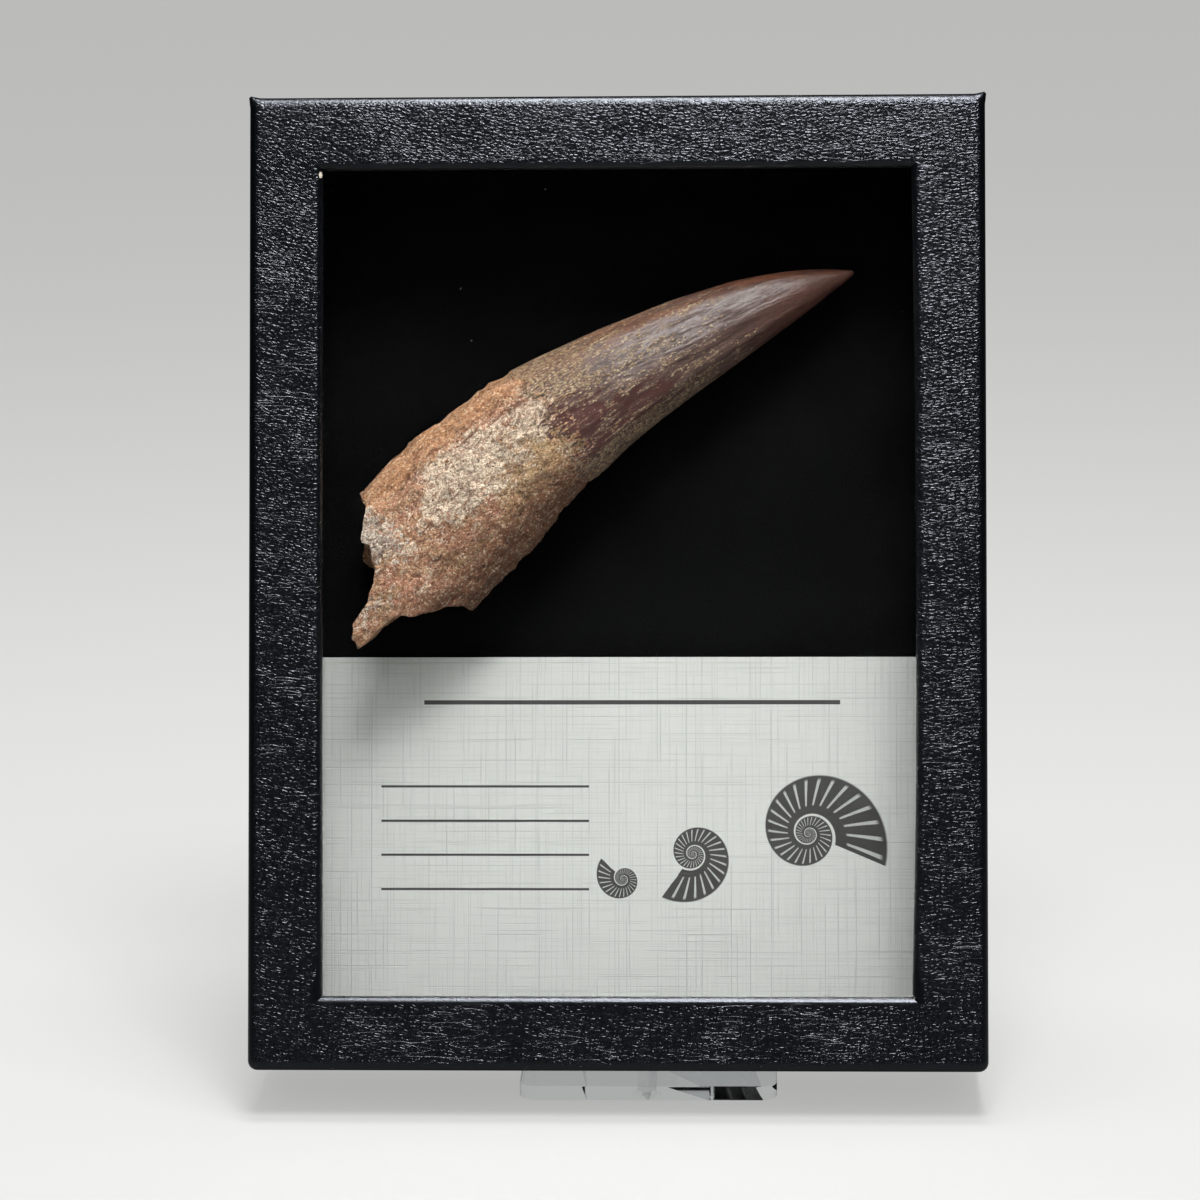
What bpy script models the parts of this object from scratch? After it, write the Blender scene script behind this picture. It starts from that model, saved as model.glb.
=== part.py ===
"""A large curved fossil tooth fixed in a glazed display case that leans on a clear acrylic easel.

Metres, +Z up. The front of the case faces -Y. The origin is the middle of the underside of the
whole object's box, so the easel's flat sheet stands on z = 0.

The case, and all that is shut in it, is drawn upright in a frame of its own and then leaned back
as one by its parent empty. In that frame x is across, z is up from the lower edge of the lid, and
y runs from 0 at the back of the tray to -CASE_DEPTH at the front of the lid.
"""
import bpy
import bmesh
from math import cos, pi, radians, sin, sqrt, tan
from mathutils import Vector, noise

MM = 0.001
GAP = 0.3 * MM

# Display case
CASE_WIDTH = 158.75 * MM
CASE_HEIGHT = 209.55 * MM
CASE_DEPTH = 35.0 * MM
WINDOW_WIDTH = 127.0 * MM
WINDOW_HEIGHT = 177.8 * MM
LID_BOARD = 2.4 * MM
LID_REVEAL = 2.0 * MM
LID_EDGE_RADIUS = 1.5 * MM
WINDOW_EDGE_RADIUS = 1.1 * MM
LID_CORNER_RADIUS = 1.0 * MM
RIM_RADIUS = 0.6 * MM
TRAY_BOARD = 2.0 * MM
TRAY_CLEARANCE = 0.35 * MM
GLASS_THICKNESS = 2.0 * MM
PAD_THICKNESS = 1.7 * MM
CARD_THICKNESS = 1.1 * MM
CARD_TOP_BELOW_MIDDLE = 16.0 * MM
SMALL_BEVEL = 0.4 * MM

# Easel, one flat clear sheet with a tongue cut free in its middle and bent up
LEAN = radians(14.0)
SHEET = 3.2 * MM
EASEL_WIDTH = 56.0 * MM
EASEL_OFFSET = 6.3 * MM
FOOT_AHEAD = 20.3 * MM
TONGUE_WIDTH = 26.6 * MM
TONGUE_LENGTH = 72.0 * MM
KERF = 1.0 * MM
SHEET_BEHIND_SLOT = 14.0 * MM
BEND_RADIUS = 3.0 * MM
BEND_STEPS = 8
SHEET_CORNER_RADIUS = 3.5 * MM
TONGUE_CORNER_RADIUS = 5.0 * MM

# Tooth, in millimetres from the middle of the case: x across, z up, half width, half thickness
TOOTH_LENGTH = 150.0 * MM
TOOTH_TIP = (51.5, 68.3)
TOOTH_STATIONS = (
    (7.0, 44.6, 66.1, 3.6, 3.3),
    (21.0, 31.4, 60.7, 6.8, 6.0),
    (35.0, 18.9, 54.6, 9.3, 8.2),
    (49.0, 6.6, 47.9, 11.2, 9.9),
    (63.0, -5.1, 40.9, 13.1, 11.2),
    (77.0, -16.4, 32.9, 15.5, 11.9),
    (91.0, -27.2, 23.9, 17.5, 12.1),
    (105.0, -37.2, 14.1, 18.4, 12.1),
    (118.0, -46.4, 4.8, 18.5, 11.9),
    (133.0, -57.0, -6.0, 18.0, 11.5),
    (150.0, -69.0, -18.2, 17.2, 11.0),
)
TIP_DROP = 3.4 * MM
CROWN_LENGTH = 74.0 * MM
FLUTES = 12
FLUTE_DEPTH = 0.3 * MM
CARINA_HEIGHT = 0.45 * MM
ENAMEL_STEP = 0.4 * MM
ROOT_ROUGHNESS = 0.8 * MM
RINGS = 70
RING_POINTS = 48

# Broken end of the root, seen from the front: upper corner, down the left, spur, along the bottom
BREAK_LEFT = (
    (-62.0, 24.5), (-56.6, 19.0), (-54.6, 16.4), (-55.4, 12.0), (-56.2, 5.2), (-53.0, 2.6),
    (-52.6, 0.2), (-54.0, -4.4), (-57.1, -9.1), (-57.4, -12.4), (-56.3, -14.4),
)
BREAK_BOTTOM = (
    (-54.4, -13.2), (-52.4, -10.8), (-48.7, -7.8), (-44.2, -7.3), (-38.3, -5.4), (-34.8, -5.2),
    (-31.8, -7.0), (-28.0, -12.0),
)
BREAK_OUTSIDE = ((-40.0, -40.0), (-95.0, -40.0), (-95.0, 24.5))
BREAK_LAYERS = 7
BREAK_SLANT = 5.0 * MM
BREAK_RAGGED = 1.1 * MM
PULP_MOUTH = (8.6 * MM, 4.6 * MM)
PULP_START = 122.0 * MM
PULP_DEPTH = 30.0 * MM

# Levels through the thickness of the case, from the back
PAD_BACK = TRAY_BOARD + GAP
PAD_FRONT = PAD_BACK + PAD_THICKNESS
CARD_BACK = PAD_FRONT + GAP
GLASS_FRONT = CASE_DEPTH - LID_BOARD - GAP
GLASS_BACK = GLASS_FRONT - GLASS_THICKNESS
TRAY_RIM = GLASS_BACK - GAP
TOOTH_MIDDLE = PAD_FRONT + GAP + 12.45 * MM


def material(name, colour, roughness, metallic=0.0, transmission=0.0):
    """A Principled material with one colour."""
    made = bpy.data.materials.new(name)
    made.use_nodes = True
    shader = made.node_tree.nodes["Principled BSDF"]
    shader.inputs["Base Color"].default_value = (*colour, 1.0)
    shader.inputs["Roughness"].default_value = roughness
    shader.inputs["Metallic"].default_value = metallic
    shader.inputs["Transmission Weight"].default_value = transmission
    return made


def add_object(name, mesh_data, finish, parent=None, smooth_below=radians(32)):
    """Make one named object from a bmesh and hang it on its parent."""
    bmesh.ops.recalc_face_normals(mesh_data, faces=mesh_data.faces)
    mesh = bpy.data.meshes.new(name)
    mesh_data.to_mesh(mesh)
    mesh_data.free()
    mesh.shade_smooth()
    mesh.set_sharp_from_angle(angle=smooth_below)
    made = bpy.data.objects.new(name, mesh)
    made.data.materials.append(finish)
    bpy.context.collection.objects.link(made)
    made.parent = parent
    return made


def arc(centre, radius, start, end, steps):
    """Points of an arc in the plane, with both of its ends."""
    angles = [start + (end - start) * i / steps for i in range(steps + 1)]
    return [(centre[0] + radius * cos(a), centre[1] + radius * sin(a)) for a in angles]


def box_mesh(low, high):
    """A closed box between two corners."""
    made = bmesh.new()
    bmesh.ops.create_cube(made, size=1.0)
    for vert in made.verts:
        vert.co = Vector([high[i] if vert.co[i] > 0 else low[i] for i in range(3)])
    return made


def bevel_edges(made, width, segments, wanted):
    """Round the edges that pass a test on their two ends."""
    edges = [edge for edge in made.edges if wanted(edge)]
    bmesh.ops.bevel(made, geom=edges, offset=width, offset_type='OFFSET', segments=segments,
                    profile=0.5, affect='EDGES')


def bridge_rings(made, rings, closed):
    """Join rows of vertices, one after another, with four-sided faces."""
    pairs = list(zip(rings, rings[1:]))
    if closed:
        pairs.append((rings[-1], rings[0]))
    for first, second in pairs:
        count = len(first)
        for i in range(count):
            j = (i + 1) % count
            made.faces.new((first[i], first[j], second[j], second[i]))


def lid_section():
    """The lid's wall cut across: distance in from the outer side, and y."""
    front = -CASE_DEPTH
    inner = (CASE_WIDTH - WINDOW_WIDTH) / 2
    rim = -LID_REVEAL
    outline = arc((RIM_RADIUS, rim - RIM_RADIUS), RIM_RADIUS, pi / 2, pi, 2)
    outline += arc((LID_EDGE_RADIUS, front + LID_EDGE_RADIUS), LID_EDGE_RADIUS, pi, pi * 1.5, 4)
    outline += arc((inner - WINDOW_EDGE_RADIUS, front + WINDOW_EDGE_RADIUS), WINDOW_EDGE_RADIUS,
                   -pi / 2, 0, 4)
    outline += [(inner, front + LID_BOARD), (LID_BOARD, front + LID_BOARD)]
    outline += arc((LID_BOARD - RIM_RADIUS, rim - RIM_RADIUS), RIM_RADIUS, 0, pi / 2, 2)
    return outline


def lid_mesh():
    """The covered lid: its section carried round four mitred corners with small outer arcs."""
    made = bmesh.new()
    rings = []
    steps = 3
    half_width = CASE_WIDTH / 2
    half_height = CASE_HEIGHT / 2
    for quarter in range(4):
        side_x = 1 if quarter in (0, 3) else -1
        side_z = 1 if quarter in (0, 1) else -1
        for step in range(steps + 1):
            angle = (quarter + step / steps) * pi / 2
            ring = []
            for inward, y in lid_section():
                radius = max(LID_CORNER_RADIUS - inward, 0.0)
                reach = max(inward, LID_CORNER_RADIUS)
                x = side_x * (half_width - reach) + radius * cos(angle)
                z = side_z * (half_height - reach) + radius * sin(angle) + half_height
                ring.append(made.verts.new((x, y, z)))
            rings.append(ring)
    bridge_rings(made, rings, True)
    bmesh.ops.remove_doubles(made, verts=made.verts, dist=0.00001)
    return made


def tray_mesh():
    """The open tray that the lid slides over: a box hollowed from its front."""
    inset = LID_BOARD + TRAY_CLEARANCE
    half_width = CASE_WIDTH / 2 - inset
    made = box_mesh((-half_width, -TRAY_RIM, inset), (half_width, 0, CASE_HEIGHT - inset))
    front = min(made.faces, key=lambda face: face.calc_center_median().y)
    bmesh.ops.inset_region(made, faces=[front], thickness=TRAY_BOARD, use_even_offset=True)
    pushed = bmesh.ops.extrude_discrete_faces(made, faces=[front])["faces"][0]
    bmesh.ops.translate(made, vec=(0, TRAY_RIM - TRAY_BOARD, 0), verts=pushed.verts)
    bevel_edges(made, 0.8 * MM, 2, lambda edge: all(vert.co.y > -0.00001 for vert in edge.verts))
    return made


def easel_slot():
    """Where the slot that the tongue leaves begins and ends, in y from the foot of the tongue."""
    half = SHEET / 2
    # The tongue's front face passes through y = 0 at the sheet's upper face.
    bend = half / cos(LEAN) - half * tan(LEAN)
    front = bend - (BEND_RADIUS + half) * tan((pi / 2 - LEAN) / 2)
    return front, front + TONGUE_LENGTH + KERF


def easel_mesh():
    """Middle surface of the clear easel: a flat sheet with its tongue bent up to the case's lean."""
    slot_front, slot_back = easel_slot()
    half = SHEET / 2
    radius = BEND_RADIUS + half
    turn = pi / 2 - LEAN
    side = EASEL_WIDTH / 2
    front = -FOOT_AHEAD
    rear = slot_back + SHEET_BEHIND_SLOT
    corner = SHEET_CORNER_RADIUS
    tongue = TONGUE_WIDTH / 2
    slot = tongue + KERF
    slot_corner = TONGUE_CORNER_RADIUS + KERF
    straight_end = TONGUE_LENGTH - TONGUE_CORNER_RADIUS

    def raised(x, along):
        """A point of the tongue, a distance along it from where its bend starts."""
        angle = min(along / radius, turn)
        beyond = along - radius * angle
        return Vector((x, slot_front + radius * sin(angle) + beyond * cos(turn),
                       half + radius * (1 - cos(angle)) + beyond * sin(turn)))

    sheet = [(0.0, front)] + arc((side - corner, front + corner), corner, -pi / 2, 0.0, 5)
    sheet += arc((side - corner, rear - corner), corner, 0.0, pi / 2, 5)
    sheet += [(0.0, rear), (0.0, slot_back)]
    sheet += arc((slot - slot_corner, slot_back - slot_corner), slot_corner, pi / 2, 0.0, 5)
    sheet += [(slot, slot_front), (tongue, slot_front), (0.0, slot_front)]
    faces = [[Vector((x, y, half)) for x, y in sheet]]
    rows = [radius * turn * i / BEND_STEPS for i in range(BEND_STEPS + 1)]
    for low, high in zip(rows, rows[1:]):
        faces.append([raised(0.0, low), raised(tongue, low), raised(tongue, high), raised(0.0, high)])
    end = arc((tongue - TONGUE_CORNER_RADIUS, straight_end), TONGUE_CORNER_RADIUS, 0.0, pi / 2, 5)
    faces.append([raised(x, along) for x, along in
                  [(0.0, rows[-1]), (tongue, rows[-1])] + end + [(0.0, TONGUE_LENGTH)]])

    made = bmesh.new()
    for points in faces:
        for mirror in (1, -1):
            row = [made.verts.new((EASEL_OFFSET + mirror * point.x, point.y, point.z))
                   for point in points[::mirror]]
            made.faces.new(row)
    bmesh.ops.remove_doubles(made, verts=made.verts, dist=0.00001)
    return made


def station(distance):
    """Centre, half width and half thickness of the whole tooth, a distance from its tip."""
    rows = ((0.0, *TOOTH_TIP, 0.0, 0.0),) + TOOTH_STATIONS
    along = distance / MM
    index = max(i for i in range(len(rows) - 1) if rows[i][0] <= along + 0.0001)
    here, after = rows[index], rows[index + 1]
    before = rows[max(index - 1, 0)]
    beyond = rows[min(index + 2, len(rows) - 1)]
    span = after[0] - here[0]
    t = (along - here[0]) / span

    def smooth(column, power):
        values = [row[column] ** power if column > 2 else row[column]
                  for row in (before, here, after, beyond)]
        slope_in = (values[2] - values[0]) / max(after[0] - before[0], 0.001) * span
        slope_out = (values[3] - values[1]) / max(beyond[0] - here[0], 0.001) * span
        value = ((2 * t ** 3 - 3 * t ** 2 + 1) * values[1] + (t ** 3 - 2 * t ** 2 + t) * slope_in
                 + (3 * t ** 2 - 2 * t ** 3) * values[2] + (t ** 3 - t ** 2) * slope_out)
        return max(value, 0.0) ** (1 / power) if column > 2 else value

    return Vector((smooth(1, 1), smooth(2, 1))) * MM, smooth(3, 2) * MM, smooth(4, 2) * MM


def blend(value, low, high):
    """0 below low, 1 above high, and a smooth rise between."""
    t = min(max((value - low) / (high - low), 0.0), 1.0)
    return t * t * (3 - 2 * t)


def surface_relief(distance, around, place):
    """How far the skin stands off its smooth form: flutes and keels on the crown, lumps on the root."""
    ragged = distance + 7 * MM * noise.noise(place * 70 + Vector((4.0, 0.0, 0.0)))
    root = blend(ragged, CROWN_LENGTH - 1 * MM, CROWN_LENGTH + 3 * MM)
    fade = blend(distance, 8 * MM, 26 * MM)
    flutes = -FLUTE_DEPTH * (0.5 + 0.5 * cos(FLUTES * around + 2.2 * noise.noise(place * 60)))
    keel = CARINA_HEIGHT * abs(cos(around)) ** 60
    coarse = noise.noise(place * 95) + 0.7 * noise.noise(place * 230) - 0.4
    skin = flutes * fade + keel * fade
    return (1 - root) * skin + root * (ROOT_ROUGHNESS * coarse - ENAMEL_STEP)


def tooth_point(distance, around):
    """A point of the skin of the whole tooth, before its root was broken."""
    middle, half_width, half_thickness = station(distance)
    ahead, _, _ = station(min(distance + 0.5 * MM, TOOTH_LENGTH))
    behind, _, _ = station(max(distance - 0.5 * MM, 0.0))
    heading = (ahead - behind).normalized()
    across = Vector((heading.y, -heading.x))
    depth = TOOTH_MIDDLE - TIP_DROP * (1 - blend(distance, 0.0, 80 * MM))
    rise = half_thickness * sin(around)
    flat = Vector((middle.x, middle.y)) + across * half_width * cos(around)
    place = Vector((flat.x, rise, flat.y))
    relief = surface_relief(distance, around, place)
    outward = Vector((across.x * cos(around), sin(around), across.y * cos(around)))
    place += outward * relief
    return Vector((place.x, place.y - depth, place.z + CASE_HEIGHT / 2))


def whole_tooth_mesh():
    """Crown and unbroken root as one loft from the tip."""
    made = bmesh.new()
    tip = made.verts.new(tooth_point(0.0, 0.0))
    rings = []
    for i in range(1, RINGS + 1):
        distance = TOOTH_LENGTH * (i / RINGS) ** 1.25
        rings.append([made.verts.new(tooth_point(distance, 2 * pi * k / RING_POINTS))
                      for k in range(RING_POINTS)])
    bridge_rings(made, rings, False)
    for k in range(RING_POINTS):
        made.faces.new((tip, rings[0][k], rings[0][(k + 1) % RING_POINTS]))
    made.faces.new(rings[-1])
    return made


def break_mesh():
    """What has broken off the root: a ragged block whose edge follows the break."""
    made = bmesh.new()
    rings = []
    y_front = -CASE_DEPTH
    kept = BREAK_LEFT + BREAK_BOTTOM
    upward = Vector((0.7, 0.7))
    for layer in range(BREAK_LAYERS):
        share = layer / (BREAK_LAYERS - 1)
        y = y_front * (1 - share)
        ring = []
        for i, (x, z) in enumerate(kept + BREAK_OUTSIDE):
            place = Vector((x, z)) * MM
            if 0 < i < len(kept) - 1:
                away = noise.noise(Vector((x * 0.21, z * 0.21, share * 6.0)))
                spur = max(0.0, 1 - (Vector((x, z)) - Vector((-56.5, -13.0))).length / 14)
                place += upward * (away * BREAK_RAGGED
                                   + BREAK_SLANT * blend(share, 0.3, 0.75) * (0.25 + 2.2 * spur))
            ring.append(made.verts.new((place.x, y, place.y + CASE_HEIGHT / 2)))
        rings.append(ring)
    bridge_rings(made, rings, False)
    made.faces.new(rings[0])
    made.faces.new(rings[-1])
    bmesh.ops.triangulate(made, faces=made.faces)
    return made


def pulp_mesh():
    """The hollow of the root: an oval cone that narrows towards the crown."""
    made = bmesh.new()
    rings = []
    count = 20
    steps = 7
    for i in range(steps + 1):
        share = i / steps
        distance = PULP_START - PULP_DEPTH * share + 12 * MM * (1 - share)
        middle, _, _ = station(distance)
        ahead, _, _ = station(distance + 0.5 * MM)
        heading = (ahead - middle).normalized()
        across = Vector((heading.y, -heading.x))
        size = sqrt(max(1 - share * 0.97, 0.0))
        ring = []
        for k in range(count):
            angle = 2 * pi * k / count
            wobble = 1 + 0.12 * noise.noise(Vector((share * 3, cos(angle), sin(angle))))
            flat = middle + across * PULP_MOUTH[0] * size * wobble * cos(angle)
            y = -TOOTH_MIDDLE + PULP_MOUTH[1] * size * wobble * sin(angle)
            ring.append(made.verts.new((flat.x, y, flat.y + CASE_HEIGHT / 2)))
        rings.append(ring)
    bridge_rings(made, rings, False)
    made.faces.new(rings[0])
    made.faces.new(rings[-1])
    return made


def cut_away(target, cutter):
    """Take a hidden cutter's volume out of an object."""
    cutter.hide_render = True
    cutter.display_type = 'WIRE'
    cut = target.modifiers.new(cutter.name, 'BOOLEAN')
    cut.operation = 'DIFFERENCE'
    cut.solver = 'EXACT'
    cut.object = cutter


def main():
    """Build the easel, then the case and what it holds under one leaning empty."""
    for old in list(bpy.data.objects):
        bpy.data.objects.remove(old, do_unlink=True)

    leatherette = material("leatherette", (0.018, 0.020, 0.024), 0.45)
    board = material("board", (0.020, 0.020, 0.022), 0.7)
    glass = material("glass", (0.96, 0.98, 0.97), 0.02, transmission=1.0)
    velvet = material("velvet", (0.006, 0.006, 0.007), 0.95)
    linen_card = material("linen_card", (0.70, 0.73, 0.70), 0.8)
    fossil = material("fossil", (0.42, 0.25, 0.15), 0.6)
    acrylic = material("acrylic", (0.95, 0.97, 0.98), 0.03, transmission=1.0)

    lean = bpy.data.objects.new("case_lean", None)
    bpy.context.collection.objects.link(lean)
    lean.rotation_euler = (-LEAN, 0, 0)

    add_object("lid", lid_mesh(), leatherette, lean)
    add_object("base_tray", tray_mesh(), board, lean)

    inset = LID_BOARD + 0.3 * MM
    pane = box_mesh((inset - CASE_WIDTH / 2, -GLASS_FRONT, inset),
                    (CASE_WIDTH / 2 - inset, -GLASS_BACK, CASE_HEIGHT - inset))
    bevel_edges(pane, SMALL_BEVEL / 2, 1, lambda edge: True)
    add_object("glass_pane", pane, glass, lean)

    inset = LID_BOARD + TRAY_CLEARANCE + TRAY_BOARD + GAP
    pad = box_mesh((inset - CASE_WIDTH / 2, -PAD_FRONT, inset),
                   (CASE_WIDTH / 2 - inset, -PAD_BACK, CASE_HEIGHT - inset))
    bevel_edges(pad, SMALL_BEVEL, 2, lambda edge: all(vert.co.y < -PAD_FRONT + 0.00001
                                                     for vert in edge.verts))
    add_object("backing_pad", pad, velvet, lean)

    card_top = CASE_HEIGHT / 2 - CARD_TOP_BELOW_MIDDLE
    card = box_mesh((inset + GAP - CASE_WIDTH / 2, -CARD_BACK - CARD_THICKNESS, inset + GAP),
                    (CASE_WIDTH / 2 - inset - GAP, -CARD_BACK, card_top))
    add_object("label_card", card, linen_card, lean)

    tooth = add_object("tooth", whole_tooth_mesh(), fossil, lean, radians(50))
    cut_away(tooth, add_object("break_cutter", break_mesh(), fossil, lean))
    cut_away(tooth, add_object("pulp_cutter", pulp_mesh(), fossil, lean))

    easel = add_object("easel", easel_mesh(), acrylic)
    thicken = easel.modifiers.new("sheet", 'SOLIDIFY')
    thicken.thickness = SHEET
    thicken.offset = 0.0
    thicken.use_even_offset = True

    # The case's rounded lower back edge rests on the sheet, and its tray on the tongue.
    back = LID_REVEAL + RIM_RADIUS
    lowest = back * sin(LEAN) + RIM_RADIUS * cos(LEAN) - RIM_RADIUS
    lift = SHEET + GAP - lowest
    shift = (GAP + lift * sin(LEAN) - SHEET * sin(LEAN)) / cos(LEAN)
    _, slot_back = easel_slot()
    rear = slot_back + SHEET_BEHIND_SLOT
    ahead = LID_EDGE_RADIUS * (cos(LEAN) + sin(LEAN) - 1) - CASE_DEPTH * cos(LEAN) - shift
    middle = (rear + ahead) / 2
    lean.location = (0, -shift - middle, lift)
    easel.location = (0, -middle, 0)


main()
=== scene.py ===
"""Looks of a large fossil tooth, fixed in a glazed display case that leans on a clear easel.

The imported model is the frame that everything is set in: metres, +Z up, the front towards -Y.
The case and what it holds are drawn upright in a frame of their own, CaseFrame, and then leaned
back as one. There x is across, z is up from the lid's lower edge, and y runs from 0 at the back
of the tray to minus the depth of the case at the front of the lid.
"""
import logging
from dataclasses import dataclass
from enum import Enum
from functools import reduce
from math import cos, e, pi, radians, sin, sqrt, tan
from typing import Callable, Iterable, Union

import bmesh
import bpy
import numpy as np
from mathutils import Matrix, Vector, noise


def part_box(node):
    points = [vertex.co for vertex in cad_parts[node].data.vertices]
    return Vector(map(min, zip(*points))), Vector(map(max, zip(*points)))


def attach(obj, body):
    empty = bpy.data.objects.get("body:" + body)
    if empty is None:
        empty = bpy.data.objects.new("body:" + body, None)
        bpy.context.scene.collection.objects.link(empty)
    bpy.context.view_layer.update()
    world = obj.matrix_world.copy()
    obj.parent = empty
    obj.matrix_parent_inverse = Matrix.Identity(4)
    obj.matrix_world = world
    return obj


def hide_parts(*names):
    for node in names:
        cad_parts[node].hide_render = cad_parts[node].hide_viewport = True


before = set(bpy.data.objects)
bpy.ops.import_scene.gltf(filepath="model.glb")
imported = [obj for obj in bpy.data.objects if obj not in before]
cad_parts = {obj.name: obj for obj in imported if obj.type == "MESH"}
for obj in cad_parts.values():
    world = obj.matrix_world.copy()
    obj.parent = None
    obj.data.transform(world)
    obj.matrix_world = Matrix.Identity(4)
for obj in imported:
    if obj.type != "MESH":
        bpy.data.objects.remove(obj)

MM = 0.001
NEAR = 1e-5
TURN = 2 * pi
BODY = "root"
LOG = logging.getLogger("specimen_case")

Colour = tuple[float, float, float]
Point = tuple[float, float, float]
Input = Union[float, Colour, "Wire"]


class Slot(Enum):
    """The record's material slots."""

    FOSSIL = "fossil"
    LEATHERETTE = "leatherette"
    PANE = "pane"
    BOARD = "board"
    VELVET = "velvet"
    LINEN_CARD = "linen_card"
    ACRYLIC = "acrylic"


def linear(level: int) -> float:
    """Turn one channel as a screen shows it, 0 to 255, into linear light."""
    share = level / 255
    return share / 12.92 if share <= 0.04045 else ((share + 0.055) / 1.055) ** 2.4


def tone(red: int, green: int, blue: int) -> Colour:
    """Turn a colour as a screen shows it, 0 to 255, into linear light."""
    return linear(red), linear(green), linear(blue)


def smooth(value: np.ndarray, low: float, high: float) -> np.ndarray:
    """Rise smoothly from 0 below low to 1 above high."""
    share = np.clip((value - low) / (high - low), 0.0, 1.0)
    return share * share * (3 - 2 * share)


def noise_at(points: np.ndarray, scale: float, offset: float = 0.0) -> np.ndarray:
    """Smooth noise at many points.

    Args:
        points: Rows of x, y and z.
        scale: Features for each unit of length.
        offset: Moved along x, so that two layers differ.

    Returns:
        One value from about -1 to 1 for each point.
    """
    moved = points * scale + np.array((offset, 0.0, 0.0))
    return np.array([noise.noise(place) for place in moved.tolist()])


# Modelling

def deselect_all() -> None:
    """Leave edit mode and deselect every object."""
    if bpy.context.object and bpy.context.object.mode != 'OBJECT':
        bpy.ops.object.mode_set(mode='OBJECT')
    bpy.ops.object.select_all(action='DESELECT')


def make_active(piece: bpy.types.Object) -> None:
    """Select one piece alone and make it active.

    Args:
        piece: The piece.
    """
    deselect_all()
    piece.select_set(True)
    bpy.context.view_layer.objects.active = piece


def named(piece: bpy.types.Object, name: str) -> bpy.types.Object:
    """Name a piece and its mesh alike.

    Args:
        piece: The piece.
        name: The name for both.

    Returns:
        The same piece.
    """
    piece.name = name
    piece.data.name = name
    return piece


def add_block(name: str, low: Point, high: Point) -> bpy.types.Object:
    """Add a cube primitive between two corners.

    Args:
        name: The piece's name.
        low: Its lowest corner.
        high: Its highest corner.

    Returns:
        The block, with its size and place in its mesh.
    """
    deselect_all()
    centre = [(a + b) / 2 for a, b in zip(low, high)]
    size = [b - a for a, b in zip(low, high)]
    bpy.ops.mesh.primitive_cube_add(size=1.0, location=centre, scale=size)
    bpy.ops.object.transform_apply(location=True, rotation=True, scale=True)
    return named(bpy.context.object, name)


class Editing:
    """Edit mode on one piece, as a with-block that starts with nothing selected."""

    def __init__(self, piece: bpy.types.Object, mode: str = 'FACE') -> None:
        """Remember the piece and the kind of element to select."""
        self.piece = piece
        self.mode = mode

    def __enter__(self) -> "Editing":
        """Enter edit mode.

        Returns:
            This object, for the with-block's own calls.
        """
        make_active(self.piece)
        bpy.ops.object.mode_set(mode='EDIT')
        bpy.ops.mesh.select_mode(type=self.mode)
        bpy.ops.mesh.select_all(action='DESELECT')
        return self

    def __exit__(self, *_: object) -> None:
        """Go back to object mode."""
        bpy.ops.object.mode_set(mode='OBJECT')

    def choose(self, test: Callable[[object], bool]) -> None:
        """Select only the elements that pass a test.

        Args:
            test: Takes a bmesh vertex, edge or face and says whether it is wanted.
        """
        bpy.ops.mesh.select_all(action='DESELECT')
        mesh = bmesh.from_edit_mesh(self.piece.data)
        mesh.normal_update()
        for item in {'VERT': mesh.verts, 'EDGE': mesh.edges, 'FACE': mesh.faces}[self.mode]:
            if test(item):
                item.select_set(True)
        bmesh.update_edit_mesh(self.piece.data)

    def choose_all(self) -> None:
        """Select the whole mesh."""
        bpy.ops.mesh.select_all(action='SELECT')

    def cut_rows(self, axis: int, places: Iterable[float]) -> None:
        """Bisect the whole mesh and keep both sides.

        Args:
            axis: 0, 1 or 2, the axis that the cuts stand across.
            places: Where on that axis each cut lies.
        """
        normal = [0.0, 0.0, 0.0]
        normal[axis] = 1.0
        for place in places:
            self.choose_all()
            through = [0.0, 0.0, 0.0]
            through[axis] = place
            bpy.ops.mesh.bisect(plane_co=through, plane_no=normal, use_fill=False)


def at(number: float, place: float) -> bool:
    """Whether a number is at a place, but for rounding."""
    return abs(number - place) < NEAR


def ends_at(edge: bmesh.types.BMEdge, axis: int, place: float) -> bool:
    """Whether both ends of an edge lie at a place along an axis."""
    return all(at(vert.co[axis], place) for vert in edge.verts)


def finish_modifier(piece: bpy.types.Object, kind: str, **settings: object) -> None:
    """Add a modifier, set it and apply it.

    Args:
        piece: The piece.
        kind: Blender's name for the kind of modifier.
        settings: The modifier's own options.
    """
    make_active(piece)
    modifier = piece.modifiers.new(kind.title(), kind)
    for key, value in settings.items():
        setattr(modifier, key, value)
    bpy.ops.object.modifier_apply(modifier=modifier.name)


def close_normals(piece: bpy.types.Object) -> None:
    """Turn every face of a closed piece outwards.

    Args:
        piece: The piece.
    """
    with Editing(piece) as edit:
        edit.choose_all()
        bpy.ops.mesh.normals_make_consistent(inside=False)


def points_of(piece: bpy.types.Object) -> np.ndarray:
    """Read the piece's vertices.

    Args:
        piece: The piece.

    Returns:
        Rows of x, y and z.
    """
    flat = np.zeros(len(piece.data.vertices) * 3, np.float32)
    piece.data.vertices.foreach_get("co", flat)
    return flat.reshape(-1, 3).astype(float)


def set_points(piece: bpy.types.Object, points: np.ndarray) -> None:
    """Move the piece's vertices to new places."""
    piece.data.vertices.foreach_set("co", points.astype(np.float32).ravel())
    piece.data.update()


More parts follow.
